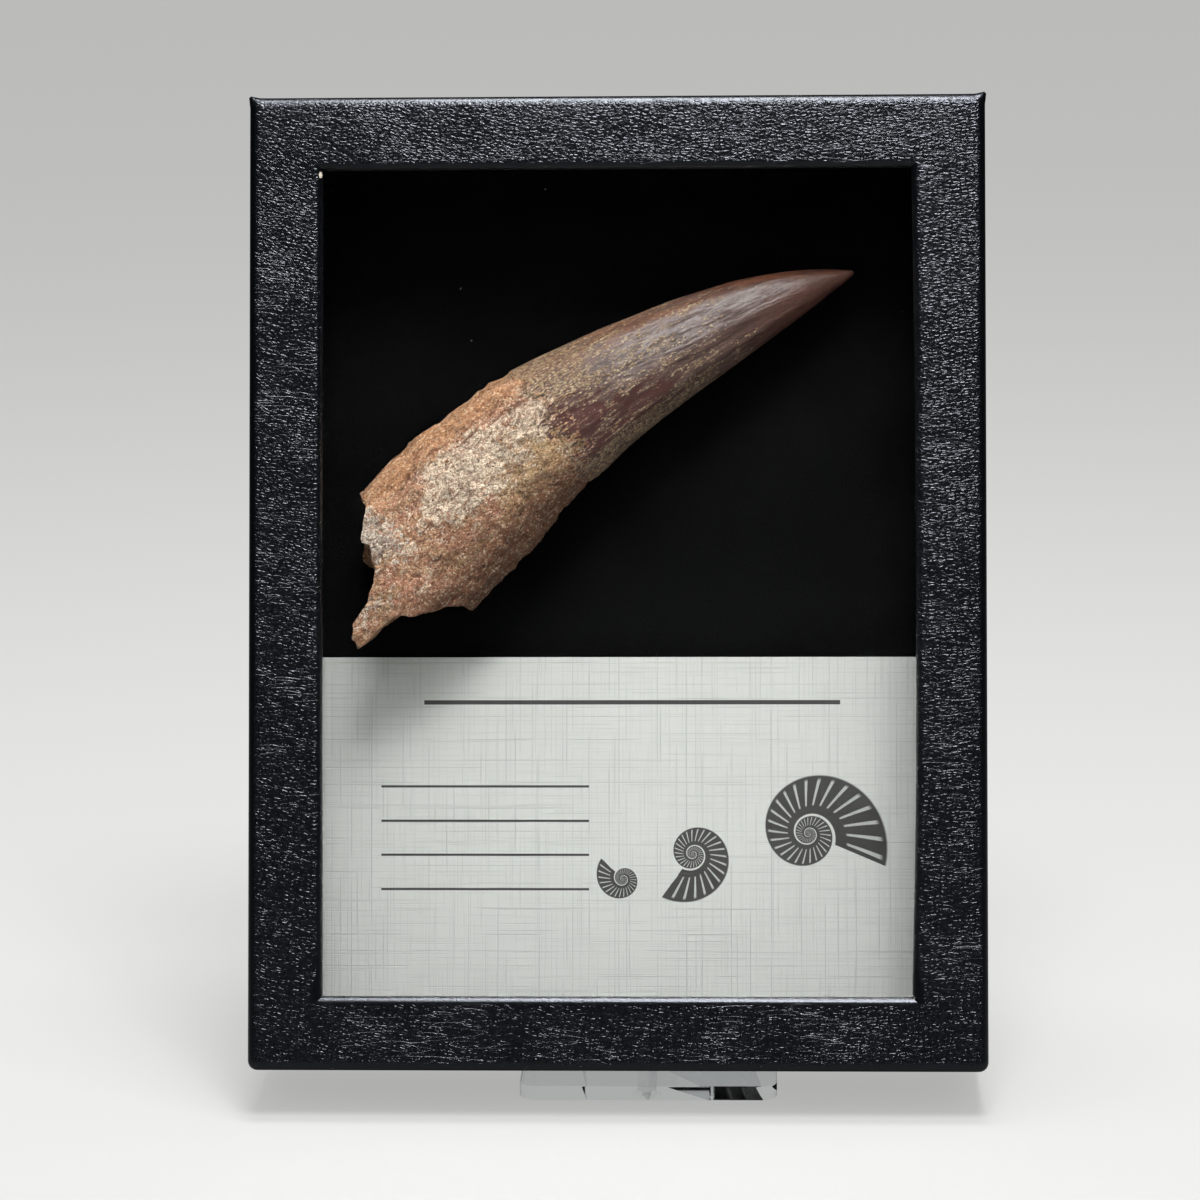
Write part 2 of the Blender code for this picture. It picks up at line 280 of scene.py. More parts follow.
def shade(piece: bpy.types.Object, sharp_above: float = radians(35), flats: bool = True) -> None:
    """Shade smooth, with sharp edges above an angle.

    Args:
        piece: The piece.
        sharp_above: The angle.
        flats: Keep broad faces flat right up to the small bevels beside them.
    """
    make_active(piece)
    bpy.ops.object.shade_smooth_by_angle(angle=sharp_above)
    if flats:
        finish_modifier(piece, 'WEIGHTED_NORMAL', keep_sharp=True)


def dress(piece: bpy.types.Object, material: bpy.types.Material, node: str) -> None:
    """Give a finished piece its material, its body and the node it stands for.

    Args:
        piece: The finished piece.
        material: Its only material.
        node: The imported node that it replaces.
    """
    piece.data.materials.clear()
    piece.data.materials.append(material)
    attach(piece, BODY)
    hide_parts(node)
    LOG.info("%s: %d faces, rides on %s, replaces %s", piece.name, len(piece.data.polygons), BODY, node)


# Materials

class Wire:
    """A value in a material's node tree, which takes part in sums as a number does."""

    def __init__(self, recipe: "Recipe", socket: bpy.types.NodeSocket) -> None:
        """Hold the socket that the value comes out of, and the recipe that it belongs to."""
        self.recipe = recipe
        self.socket = socket

    def __add__(self, other: Input) -> "Wire":
        """The sum of two values."""
        return self.recipe.math('ADD', self, other)

    def __mul__(self, other: Input) -> "Wire":
        """The product of two values."""
        return self.recipe.math('MULTIPLY', self, other)

    def __sub__(self, other: Input) -> "Wire":
        """This value less another."""
        return self.recipe.math('SUBTRACT', self, other)

    def __rsub__(self, other: float) -> "Wire":
        """A number less this value."""
        return self.recipe.math('SUBTRACT', other, self)

    def __abs__(self) -> "Wire":
        """The value without its sign."""
        return self.recipe.math('ABSOLUTE', self)

    __radd__ = __add__
    __rmul__ = __mul__

    def most(self, other: Input) -> "Wire":
        """The larger of two values."""
        return self.recipe.math('MAXIMUM', self, other)

    def least(self, other: Input) -> "Wire":
        """The smaller of two values."""
        return self.recipe.math('MINIMUM', self, other)

    def fraction(self) -> "Wire":
        """What is left of the value above its whole part."""
        return self.recipe.math('FRACT', self)

    def rise(self, low: float, high: float, start: float = 0.0, end: float = 1.0) -> "Wire":
        """Rise smoothly with this value.

        Args:
            low: Where the rise starts; it may be the larger of the two.
            high: Where it ends.
            start: The result up to low.
            end: The result from high on.

        Returns:
            The result.
        """
        node = self.recipe.add("ShaderNodeMapRange", interpolation_type='SMOOTHSTEP')
        for name, number in (("From Min", low), ("From Max", high), ("To Min", start), ("To Max", end)):
            node.inputs[name].default_value = number
        self.recipe.put(node.inputs["Value"], self)
        return Wire(self.recipe, node.outputs[0])

    def band(self, middle: float, half: float, soft: float) -> "Wire":
        """1 within half of a middle value, falling to 0 over soft beyond it."""
        return abs(self - middle).rise(half + soft, half)

    def between(self, first: Input, second: Input) -> "Wire":
        """Blend two colours by this share.

        Args:
            first: The colour where this is 0.
            second: The colour where this is 1.

        Returns:
            The blended colour.
        """
        node = self.recipe.add("ShaderNodeMix", data_type='RGBA')
        for index, value in ((0, self), (6, first), (7, second)):
            self.recipe.put(node.inputs[index], value)
        return Wire(self.recipe, node.outputs[2])

    def painted(self, colour: Colour, share: "Wire") -> "Wire":
        """This colour, with another laid over a share of it."""
        return share.between(self, colour)

    def parts(self) -> tuple["Wire", ...]:
        """Take a vector apart.

        Returns:
            Its x, y and z.
        """
        node = self.recipe.add("ShaderNodeSeparateXYZ")
        self.recipe.put(node.inputs[0], self)
        return tuple(Wire(self.recipe, socket) for socket in node.outputs)

    def mapped(self, scale: Point = (1, 1, 1), turn: Point = (0, 0, 0),
               move: Point = (0, 0, 0)) -> "Wire":
        """Scale, turn and then move a vector.

        Args:
            scale: Along each axis.
            turn: Angles about each axis.
            move: Added at the end.

        Returns:
            The mapped vector.
        """
        node = self.recipe.add("ShaderNodeMapping")
        self.recipe.put(node.inputs["Vector"], self)
        for name, numbers in (("Scale", scale), ("Rotation", turn), ("Location", move)):
            node.inputs[name].default_value = numbers
        return Wire(self.recipe, node.outputs["Vector"])

    def drawn_out(self, share: float) -> "Wire":
        """Make what is drawn on this vector longer along x, as the share is smaller."""
        return self.mapped(scale=(share, 1.0, 1.0))

    def pattern(self, kind: str, inputs: dict[str, float], **settings: object) -> bpy.types.Node:
        """Add a texture node on this vector.

        Args:
            kind: Blender's name for the kind of node.
            inputs: Numbers for its inputs.
            settings: Its own options.

        Returns:
            The node.
        """
        node = self.recipe.add(kind, **settings)
        self.recipe.put(node.inputs["Vector"], self)
        for name, number in inputs.items():
            node.inputs[name].default_value = number
        return node

    def noise(self, scale: float, detail: float = 3.0, rough: float = 0.5, warp: float = 0.0) -> "Wire":
        """Fractal noise around a half, on a lattice turned away from every axis.

        Args:
            scale: Features for each unit of this vector.
            detail: How many finer layers it has.
            rough: How strong each finer layer is.
            warp: How far it is bent.

        Returns:
            The noise.
        """
        inputs = {"Scale": scale, "Detail": detail, "Roughness": rough, "Distortion": warp}
        node = self.mapped(turn=(0.5, 0.7, 0.9)).pattern("ShaderNodeTexNoise", inputs)
        return Wire(self.recipe, node.outputs["Fac"])

    def cells(self, scale: float, feature: str = 'F1') -> "Wire":
        """The distance to the nearest of many scattered centres, or to a border between cells."""
        node = self.pattern("ShaderNodeTexVoronoi", {"Scale": scale}, feature=feature)
        return Wire(self.recipe, node.outputs["Distance"])

    def grains(self, scale: float) -> tuple["Wire", ...]:
        """Packed grains.

        Args:
            scale: Grains for each unit of this vector.

        Returns:
            A height that falls from each grain's middle, and three random values for each grain.
        """
        node = self.pattern("ShaderNodeTexVoronoi", {"Scale": scale}, feature='F1')
        dome = Wire(self.recipe, node.outputs["Distance"]).rise(0.75, 0.05)
        return (dome, *Wire(self.recipe, node.outputs["Color"]).parts())


def most_of(wires: Iterable[Wire]) -> Wire:
    """The largest of several values."""
    return reduce(Wire.most, wires)


def sifted(share: Wire, chance: Wire) -> Wire:
    """Turn a soft share into whole grains: each is in or out by its own chance."""
    return (share - chance).rise(-0.12, 0.12)


class Recipe:
    """The node tree of one material, with its Principled shader."""

    def __init__(self, name: str) -> None:
        """Start a material.

        Args:
            name: The material's name.
        """
        self.material = bpy.data.materials.new(name)
        self.material.use_nodes = True
        self.tree = self.material.node_tree
        self.shader = self.tree.nodes["Principled BSDF"]
        self.output = self.tree.nodes["Material Output"]

    def put(self, socket: bpy.types.NodeSocket, value: Input) -> None:
        """Link or set one input.

        Args:
            socket: The input.
            value: A wire, a number or a colour.
        """
        if isinstance(value, Wire):
            self.tree.links.new(value.socket, socket)
        elif socket.type == 'RGBA':
            socket.default_value = (*value, 1.0)
        else:
            socket.default_value = value

    def add(self, kind: str, **settings: object) -> bpy.types.Node:
        """Add a node.

        Args:
            kind: Blender's name for the kind of node.
            settings: Its own options.

        Returns:
            The node.
        """
        node = self.tree.nodes.new(kind)
        for key, value in settings.items():
            setattr(node, key, value)
        return node

    def set(self, **values: Input) -> None:
        """Set the shader's sockets by name, with _ for a space."""
        for name, value in values.items():
            self.put(self.shader.inputs[name.replace("_", " ")], value)

    def math(self, operation: str, *values: Input) -> Wire:
        """Work out one sum.

        Args:
            operation: Blender's name for it.
            values: What goes in, in order.

        Returns:
            The result.
        """
        node = self.add("ShaderNodeMath", operation=operation)
        for socket, value in zip(node.inputs, values):
            self.put(socket, value)
        return Wire(self, node.outputs[0])

    def object_place(self) -> Wire:
        """The place on the piece in metres."""
        return Wire(self, self.add("ShaderNodeTexCoord").outputs["Object"])

    def attribute(self, name: str, output: str) -> Wire:
        """An attribute that the piece carries."""
        return Wire(self, self.add("ShaderNodeAttribute", attribute_name=name).outputs[output])

    def ray(self, kind: str) -> Wire:
        """1 for rays of one kind, 0 for the others."""
        return Wire(self, self.add("ShaderNodeLightPath").outputs[kind])

    def vector(self, *values: Input) -> Wire:
        """Put a vector together.

        Args:
            values: Its x, y and z.

        Returns:
            The vector.
        """
        node = self.add("ShaderNodeCombineXYZ")
        for socket, value in zip(node.inputs, values):
            self.put(socket, value)
        return Wire(self, node.outputs[0])

    def length(self, vector: Wire) -> Wire:
        """Measure a vector.

        Args:
            vector: The vector.

        Returns:
            Its length.
        """
        node = self.add("ShaderNodeVectorMath", operation='LENGTH')
        self.put(node.inputs[0], vector)
        return Wire(self, node.outputs["Value"])

    def chance(self, key: Wire) -> Wire:
        """Draw a random value.

        Args:
            key: The same key always draws the same value.

        Returns:
            A value from 0 to 1.
        """
        node = self.add("ShaderNodeTexWhiteNoise", noise_dimensions='1D')
        self.put(node.inputs["W"], key)
        return Wire(self, node.outputs["Value"])

    def bump(self, height: Wire, distance: float, strength: float = 1.0) -> Wire:
        """Turn a height into a normal.

        Args:
            height: From about 0 to 1.
            distance: What a height of 1 stands for, in metres.
            strength: How much of it is felt.

        Returns:
            The normal.
        """
        node = self.add("ShaderNodeBump")
        node.inputs["Strength"].default_value = strength
        node.inputs["Distance"].default_value = distance
        self.put(node.inputs["Height"], height)
        return Wire(self, node.outputs["Normal"])

    def let_lamps_through(self, share: float) -> None:
        """Let part of each lamp's light pass a clear piece, as clear sheet does.

        Args:
            share: The part that passes.
        """
        clear = self.add("ShaderNodeBsdfTransparent")
        self.put(clear.inputs["Color"], (share, share, share))
        blend = self.add("ShaderNodeMixShader")
        surfaces = (self.ray("Is Shadow Ray").socket, self.shader.outputs[0], clear.outputs[0])
        for target, source in zip(blend.inputs, surfaces):
            self.tree.links.new(source, target)
        self.tree.links.new(blend.outputs[0], self.output.inputs["Surface"])


@dataclass(frozen=True)
class CaseFrame:
    """The leaning frame of the case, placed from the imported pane."""

    width: float = 158.75 * MM
    height: float = 209.55 * MM
    depth: float = 35.0 * MM
    window_width: float = 127.0 * MM
    window_height: float = 177.8 * MM
    pane_middle: float = 31.3 * MM
    lean: float = radians(14.0)

    @property
    def rail(self) -> float:
        """Width of the lid's front border."""
        return (self.width - self.window_width) / 2

    @property
    def turn(self) -> Matrix:
        """The lean as a rotation."""
        return Matrix.Rotation(-self.lean, 4, 'X')

    @property
    def foot(self) -> Vector:
        """Where the case frame's own origin stands in the row frame."""
        low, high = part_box("glass_pane")
        return (low + high) / 2 - self.turn @ Vector((0, -self.pane_middle, self.height / 2))

    @property
    def matrix(self) -> Matrix:
        """From the case frame to the row frame."""
        return Matrix.Translation(self.foot) @ self.turn

    def settle(self, piece: bpy.types.Object) -> None:
        """Lean a piece that was drawn upright, in its mesh."""
        piece.data.transform(self.matrix)
        piece.data.update()

    def place(self, recipe: Recipe) -> Wire:
        """Find the place on a piece in the case frame.

        Args:
            recipe: The material that wants it.

        Returns:
            Millimetres from the middle of the case.
        """
        back = self.turn.inverted() @ self.foot
        upright = recipe.object_place().mapped(
            turn=(self.lean, 0, 0), move=(-back.x, -back.y, -back.z - self.height / 2))
        return upright.mapped(scale=(1 / MM, 1 / MM, 1 / MM))


# Finishes

@dataclass(frozen=True)
class Leatherette:
    """Black covering paper pressed with fine level pebbles whose shoulders catch the light, their tops
    painted a little lighter as a painted highlight.
    """

    case: CaseFrame
    ground: Colour = tone(4, 5, 7)
    crest_highlight: Colour = tone(9, 10, 14)
    bare_board: Colour = tone(226, 214, 196)
    pebble: float = 1.4
    bead: float = 2.66
    lengthened: float = 0.58
    groove: float = 0.3
    depth: float = 0.08 * MM
    shine: float = 0.29
    reflectance: float = 0.72
    glint: Colour = (0.84, 0.89, 1.0)
    stretched: float = 2.1
    smoothed: float = 0.12
    lip: float = 1.2
    # Side and end of the window, then right, up and reach in millimetres.
    chips: tuple[tuple[float, ...], ...] = (
        (-1, 1, -0.1, -1.5, 0.7), (-1, -1, 0.5, 0.0, 0.4), (1, -1, -0.2, -0.1, 0.3),
    )

    def make(self) -> bpy.types.Material:
        """Build the material.

        Returns:
            The material.
        """
        recipe = Recipe("black leatherette paper")
        place = self.case.place(recipe)
        x, y, z = place.parts()
        ripple = place.mapped(scale=(0.5, 0.5, 1.0)).noise(0.9, 2.0)
        sway = place.noise(0.05, 2.0)
        level = recipe.vector(x * self.lengthened, y * self.lengthened, z + ripple * 0.9 + sway * 5.0)
        pebbles = level.cells(self.pebble, 'DISTANCE_TO_EDGE').rise(0.0, self.groove)
        beads = level.mapped(move=(3.7, 0, 1.9)).cells(self.bead, 'DISTANCE_TO_EDGE').rise(0.0, self.groove)
        rough = recipe.vector(x, y, z * 1.6).noise(2.6, 2.0, 0.6)
        patchy = level.noise(0.9, 1.0).rise(0.36, 0.58, 0.6, 1.05)
        open_face = self.open_face(x, y, z)
        height = (pebbles * patchy + beads * 0.22 + rough * 0.3 + self.creases(place) * -1.3) * open_face
        # Pebble tops get the lighter crest colour and the grooves the ground colour: a slight painted
        # highlight on the pebbles.
        colour = (pebbles * open_face).between(self.ground, self.crest_highlight)
        recipe.set(Base_Color=colour.painted(self.bare_board, self.worn_corners(recipe, place)),
                   Specular_IOR_Level=self.reflectance, Specular_Tint=self.glint, Roughness=self.shine,
                   Normal=recipe.bump(height, self.depth))
        return recipe.material

    def creases(self, place: Wire) -> Wire:
        """Draw a few long slanting creases, here and there.

        Args:
            place: The place in the case frame.

        Returns:
            1 in a crease.
        """
        slanted = place.mapped(scale=(0.10, 0.5, 0.75), turn=(0, 0.4, 0))
        return slanted.noise(0.8, 1.0).band(0.5, 0.0, 0.02) * place.noise(0.07, 1.0).rise(0.53, 0.6)

    def open_face(self, x: Wire, y: Wire, z: Wire) -> Wire:
        """Find where the paper keeps its grain.

        Args:
            x: Across the case.
            y: From the back of the case.
            z: Up from the middle of the case.

        Returns:
            Near 0 where the paper is stretched smooth round the outer edges, 1 elsewhere.
        """
        case = self.case
        across = case.width / 2 / MM - abs(x)
        up = case.height / 2 / MM - abs(z)
        behind = y + case.depth / MM
        from_edge = across.least(up).most(across.most(up).least(behind))
        outer = from_edge.rise(self.stretched - 0.8, self.stretched, self.smoothed, 1.0)
        sill = -case.window_height / 2 / MM
        lip = z.rise(sill + 6.0, sill + 1.0, 0.0, self.lip)
        from_window = (case.rail / MM - across).most(case.rail / MM - up) - lip
        return outer.least(from_window.rise(0.1, 1.0, self.smoothed, 1.0))

    def worn_corners(self, recipe: Recipe, place: Wire) -> Wire:
        """Break the covering a little at the window's corners, where the board shows.

        Args:
            recipe: The material.
            place: The place in the case frame.

        Returns:
            1 on the bare board.
        """
        half_w = self.case.window_width / 2 / MM
        half_h = self.case.window_height / 2 / MM
        shares = []
        for side, end, right, up, reach in self.chips:
            middle = (-side * half_w - right, self.case.depth / MM, -end * half_h - up)
            away = recipe.length(place.mapped(move=middle).mapped(scale=(1.5, 0.35, 0.8)))
            shares.append(away.rise(reach, reach * 0.7))
        return most_of(shares)


@dataclass(frozen=True)
class CoveredBoard:
    """Plain black paper on the tray, a little matt."""

    case: CaseFrame
    ground: Colour = tone(26, 26, 29)
    rubbed: Colour = tone(44, 43, 44)
    fibre_depth: float = 0.05 * MM

    def make(self) -> bpy.types.Material:
        """Build the material.

        Returns:
            The material.
        """
        recipe = Recipe("black paper on board")
        place = self.case.place(recipe)
        fibre = place.mapped(scale=(1.0, 1.0, 0.6)).noise(2.4, 4.0, 0.6)
        scuff = place.mapped(scale=(0.06, 0.4, 0.5)).noise(1.0, 4.0, 0.6).rise(0.58, 0.75)
        recipe.set(Base_Color=(scuff * 0.7).between(self.ground, self.rubbed),
                   Roughness=fibre.rise(0.3, 0.7, 0.52, 0.68),
                   Normal=recipe.bump(fibre, self.fibre_depth, 0.7))
        return recipe.material


@dataclass(frozen=True)
class Velvet:
    """Short black nap with a little lint."""

    case: CaseFrame
    ground: Colour = tone(8, 8, 9)
    brushed_down: float = 0.55
    lint: Colour = tone(150, 148, 145)
    nap_depth: float = 0.22 * MM

    def make(self) -> bpy.types.Material:
        """Build the material.

        Returns:
            The material.
        """
        recipe = Recipe("black velvet")
        place = self.case.place(recipe)
        nap = place.mapped(scale=(1.0, 1.0, 0.55)).noise(3.6, 2.0, 0.6)
        lint = place.cells(0.16).rise(0.055, 0.03) * place.noise(0.35, 0.0).rise(0.60, 0.64)
        darker = tuple(channel * self.brushed_down for channel in self.ground)
        pile = place.noise(0.05, 3.0, 0.55).rise(0.35, 0.7).between(darker, self.ground)
        recipe.set(Base_Color=pile.painted(self.lint, lint * 0.7), Roughness=1.0,
                   Specular_IOR_Level=0.1, Sheen_Weight=0.008, Sheen_Roughness=0.4,
                   Normal=recipe.bump(nap, self.nap_depth))
        return recipe.material


@dataclass(frozen=True)
class Rule:
    """One printed line on the card: its middle, length and thickness, in millimetres."""

    x: float
    z: float
    length: float
    thick: float


@dataclass(frozen=True)
class ShellMotif:
    """One coiled shell printed on the card: its middle and radius in millimetres, and its turn."""

    x: float
    z: float
    radius: float
    turned: float


@dataclass(frozen=True)
class LinenCard:
    """Off-white card embossed like linen, its embossed lines painted darker as painted shade, printed with
    plain rules and coiled shells.
    """

    case: CaseFrame
    ground: Colour = tone(208, 208, 205)
    thread_shade: Colour = tone(164, 168, 166)
    ink: Colour = tone(52, 50, 50)
    ink_cover: float = 0.95
    emboss: float = 0.07 * MM
    # How far apart the threads of each layer lie, and how strong they are.
    layers: tuple[tuple[float, float], ...] = ((0.78, 0.4), (1.9, 0.75), (5.3, 1.0))
    rules: tuple[Rule, ...] = (
        Rule(2.5, -26.0, 92.0, 0.9), Rule(-30.0, -44.6, 46.0, 0.45), Rule(-30.0, -52.2, 46.0, 0.45),
        Rule(-30.0, -59.7, 46.0, 0.45), Rule(-30.0, -67.3, 46.0, 0.45),
    )
    shells: tuple[ShellMotif, ...] = (
        ShellMotif(41.5, -55.0, 19.5, 0.4), ShellMotif(16.0, -59.5, 12.5, 2.2),
        ShellMotif(0.5, -65.0, 7.0, 3.9),
    )
    ribs: float = 26.0
    growth: float = 0.19

    def make(self) -> bpy.types.Material:
        """Build the material.

        Returns:
            The material.
        """
        recipe = Recipe("embossed linen card")
        place = self.case.place(recipe)
        x, _, z = place.parts()
        weave = self.threads(recipe, x, z, 0.0).most(self.threads(recipe, z, x, 40.0))
        # The embossed lines are painted darker than the card: painted shade in the lines.
        paper = (weave * 0.6).between(self.ground, self.thread_shade)
        pulp = place.noise(4.0, 3.0, 0.6)
        recipe.set(Base_Color=paper.painted(self.ink, self.print_mask(recipe, x, z)), Roughness=0.82,
                   Specular_IOR_Level=0.25,
                   Normal=recipe.bump(weave * -1.0 + pulp * 0.3, self.emboss))
        return recipe.material

    def threads(self, recipe: Recipe, across: Wire, along: Wire, offset: float) -> Wire:
        """Draw straight embossed lines, each fading in and out along its length.

        Args:
            recipe: The material.
            across: The way that the lines are counted.
            along: The way that they run.
            offset: Keeps one set of lines unlike another.

        Returns:
            1 on a line.
        """
        lines = []
        for pitch, share in self.layers:
            counted = across * (1 / pitch) + offset * pitch
            cell = recipe.math('FLOOR', counted)
            middle = recipe.chance(cell + (offset + pitch)).rise(0.0, 1.0, 0.25, 0.75)
            line = abs(counted.fraction() - middle).rise(0.13 / pitch, 0.06 / pitch)
            run = recipe.vector(along * 0.055, cell * 1.7, pitch).noise(1.0, 2.0)
            lines.append(line * run.rise(0.42, 0.62) * share)
        return most_of(lines)

    def print_mask(self, recipe: Recipe, x: Wire, z: Wire) -> Wire:
        """Find where the ink lies.

        Args:
            recipe: The material.
            x: Across the case.
            z: Up from the middle of the case.

        Returns:
            Near 1 under ink.
        """
        rules = [x.band(rule.x, rule.length / 2, 0.05) * z.band(rule.z, rule.thick / 2, 0.06)
                 for rule in self.rules]
        shells = [self.shell_mask(recipe, shell, x, z) for shell in self.shells]
        return most_of(rules + shells) * self.ink_cover

    def shell_mask(self, recipe: Recipe, shell: ShellMotif, x: Wire, z: Wire) -> Wire:
        """Draw a coiled shell: a growing spiral with ribs left in the card's colour.

        Args:
            recipe: The material.
            shell: The shell.
            x: Across the case.
            z: Up from the middle of the case.

        Returns:
            1 where the shell is inked.
        """
        right, up = x - shell.x, z - shell.z
        radius = recipe.math('SQRT', right * right + up * up)
        angle = recipe.math('ARCTAN2', up, right)
        turned = (angle * (1 / TURN) + (shell.turned / TURN + 1.0)).fraction()
        edge = shell.radius * recipe.math('EXPONENT', turned * (-TURN * self.growth))
        inside = (radius - edge).rise(0.08, -0.08)
        grown = recipe.math('LOGARITHM', recipe.math('DIVIDE', radius.most(0.05), shell.radius), e)
        whorl = (grown * (1 / (TURN * self.growth)) + turned + 20.0).fraction()
        seam = whorl.band(0.0, 0.035, 0.03).most(whorl.band(1.0, 0.035, 0.03))
        rib = recipe.math('COSINE', angle * self.ribs + whorl * 2.2).rise(0.62, 0.86)
        bare = seam.most(rib * whorl.band(0.62, 0.24, 0.06) * 0.75)
        return inside * (1.0 - bare)


@dataclass(frozen=True)
class ClearSheet:
    """A clear, polished sheet: glass or acrylic."""

    name: str
    tint: Colour
    index: float
    roughness: float
    lamps: float
    wave_depth: float = 0.02 * MM

    def make(self) -> bpy.types.Material:
        """Build the material.

        Returns:
            The material.
        """
        recipe = Recipe(self.name)
        waves = recipe.object_place().noise(9.0, 1.0)
        recipe.set(Base_Color=self.tint, Roughness=self.roughness, IOR=self.index,
                   Transmission_Weight=1.0, Normal=recipe.bump(waves, self.wave_depth, 0.3))
        recipe.let_lamps_through(self.lamps)
        return recipe.material


@dataclass(frozen=True)
class Patch:
    """A ragged oval on the tooth: its middle and its reach along and across, in millimetres."""

    along: float
    across: float
    long: float
    wide: float
    ragged: float = 2.2

    def drawn_on(self, straight: Wire) -> Wire:
        """Draw the patch with a broad soft edge, so that each grain's chance can break it up.

        Args:
            straight: The place along, across and through the tooth.

        Returns:
            0 at the patch's border and 1 inside.
        """
        s, a, _ = straight.parts()
        first = (s - self.along) * (1 / self.long)
        second = (a - self.across) * (1 / self.wide)
        torn = (straight.noise(0.3, 5.0, 0.65) - 0.5) * self.ragged
        return (first * first + second * second + torn).rise(1.7, 0.1)


@dataclass(frozen=True)
class Fossil:
    """Grey-brown enamel with sandy flecks on the crown, and a gritty tan root."""

    enamel: Colour = tone(98, 74, 68)
    enamel_dark: Colour = tone(62, 42, 38)
    lilac: Colour = tone(140, 128, 128)
    tip: Colour = tone(84, 50, 40)
    rust: Colour = tone(124, 78, 56)
    maroon: Colour = tone(72, 34, 30)
    fleck: Colour = tone(206, 186, 152)
    ochre: Colour = tone(156, 126, 92)
    sand: Colour = tone(204, 160, 122)
    gold: Colour = tone(208, 172, 128)
    orange: Colour = tone(190, 138, 94)
    cream: Colour = tone(252, 230, 206)
    rose: Colour = tone(196, 138, 112)
    umber: Colour = tone(112, 74, 50)
    rusty_grain: Colour = tone(134, 78, 54)
    pale_grain: Colour = tone(252, 234, 208)
    chalk: Colour = tone(226, 216, 202)
    pit_shade: Colour = tone(58, 42, 36)
    hollow: Colour = tone(176, 112, 62)
    crown_roughness: float = 0.38
    root_roughness: float = 0.8
    relief: float = 0.7 * MM
    crown_grain: float = 3.4
    root_grain: float = 3.0
    stained: Patch = Patch(70.0, -4.0, 8.5, 7.5, 3.2)
    stain_tail: Patch = Patch(57.0, -6.5, 12.0, 3.5, 3.2)
    golden: Patch = Patch(82.0, -4.0, 12.0, 8.0)
    pale: Patch = Patch(95.0, 2.5, 15.0, 7.5, 4.0)
    pale_neck: Patch = Patch(77.5, 3.0, 5.0, 5.0)
    chalky: Patch = Patch(119.0, 7.0, 5.5, 7.0, 3.0)
    chalky_end: Patch = Patch(130.0, -3.5, 7.0, 3.0, 3.0)
    rust_run: Patch = Patch(82.0, 8.8, 10.0, 4.0)

    def make(self) -> bpy.types.Material:
        """Build the material.

        Returns:
            The material.
        """
        recipe = Recipe("fossil tooth")
        straight = recipe.attribute("straight", "Vector")
        girth = recipe.attribute("girth", "Vector")
        _, chance, _, _ = straight.drawn_out(0.5).grains(2.4)
        root = sifted(recipe.attribute("root", "Fac"), chance.rise(0.0, 1.0, 0.1, 0.9))
        crown_colour, crown_rough, crown_height = self.crown(straight, girth)
        root_colour, root_height = self.root(straight, girth)
        bare = 1.0 - root
        recipe.set(Base_Color=root.between(crown_colour, root_colour),
                   Roughness=crown_rough * bare + root * self.root_roughness, Specular_IOR_Level=0.5,
                   Normal=recipe.bump(crown_height * bare + root_height * root, self.relief))
        return recipe.material

    def crown(self, straight: Wire, girth: Wire) -> tuple[Wire, ...]:
        """Paint the enamel.

        Args:
            straight: The place along, across and through the tooth in millimetres.
            girth: The place across and through as shares, and how far inside the break.

        Returns:
            Its colour, roughness and height.
        """
        s, _, _ = straight.parts()
        side, _, _ = girth.parts()
        flat = straight.drawn_out(0.4)
        streaks = straight.drawn_out(0.09).noise(1.1, 5.0, 0.65)
        mottle = flat.noise(0.3, 4.0, 0.6)
        bands = straight.drawn_out(0.16).noise(0.55, 4.0, 0.6)
        dome, chance, shade, third = flat.grains(self.crown_grain)
        bed, wide_chance, _, _ = flat.grains(1.3)
        near_tip = s.rise(36.0, 12.0)

        colour = streaks.rise(0.36, 0.64).between(self.enamel_dark, self.enamel)
        colour = colour.painted(self.tip, near_tip * 0.75)
        colour = colour.painted(self.rust, side.rise(0.35, 0.75) * mottle.rise(0.35, 0.6) * 0.7)
        # The lilac band along the upper middle of the crown is partly the enamel's worn colour and partly a
        # painted sheen from the overhead light.
        wear_and_sheen = (side.band(0.28, 0.2, 0.34) * s.rise(6.0, 22.0) * s.rise(66.0, 48.0)
                * streaks.rise(0.34, 0.6))
        colour = colour.painted(self.lilac, wear_and_sheen * 0.6)
        stains = self.stained.drawn_on(straight).most(self.stain_tail.drawn_on(straight) * 0.8)
        stains = (stains * streaks.rise(0.66, 0.42)).rise(0.2, 0.55)
        colour = colour.painted(self.maroon, stains * 0.9)

        sandy = (s.rise(16.0, 66.0, -0.12, 0.62)
                 + bands.rise(0.36, 0.66, -0.35, 0.5) * s.rise(12, 40)
                 + s.rise(58.0, 73.0) * side.rise(-0.1, 0.35) * 0.45
                 + side.rise(-0.2, -0.8) * s.rise(16, 40) * 0.15
                 + stains * -0.75 + wear_and_sheen * -0.15 + s.rise(8.0, 26.0, -0.3, 0.0)
                 + (wide_chance - 0.5) * 0.5)
        specks = sifted(sandy, chance)
        colour = colour.painted(shade.rise(0.3, 1.0).between(self.ochre, self.fleck),
                                specks * dome.rise(0.0, 0.35) * 0.72)
        dark = third.rise(0.25, 0.12)
        colour = colour.painted(self.enamel_dark, dark * 0.55)

        rough = self.crown_roughness + near_tip * -0.09 + specks * 0.25
        gritty = s.rise(8.0, 40.0)
        height = (streaks * 0.36 + specks * dome * 0.26 * gritty + bed * 0.1 * gritty
                  + dark * -0.1 * gritty)
        return colour, rough, height

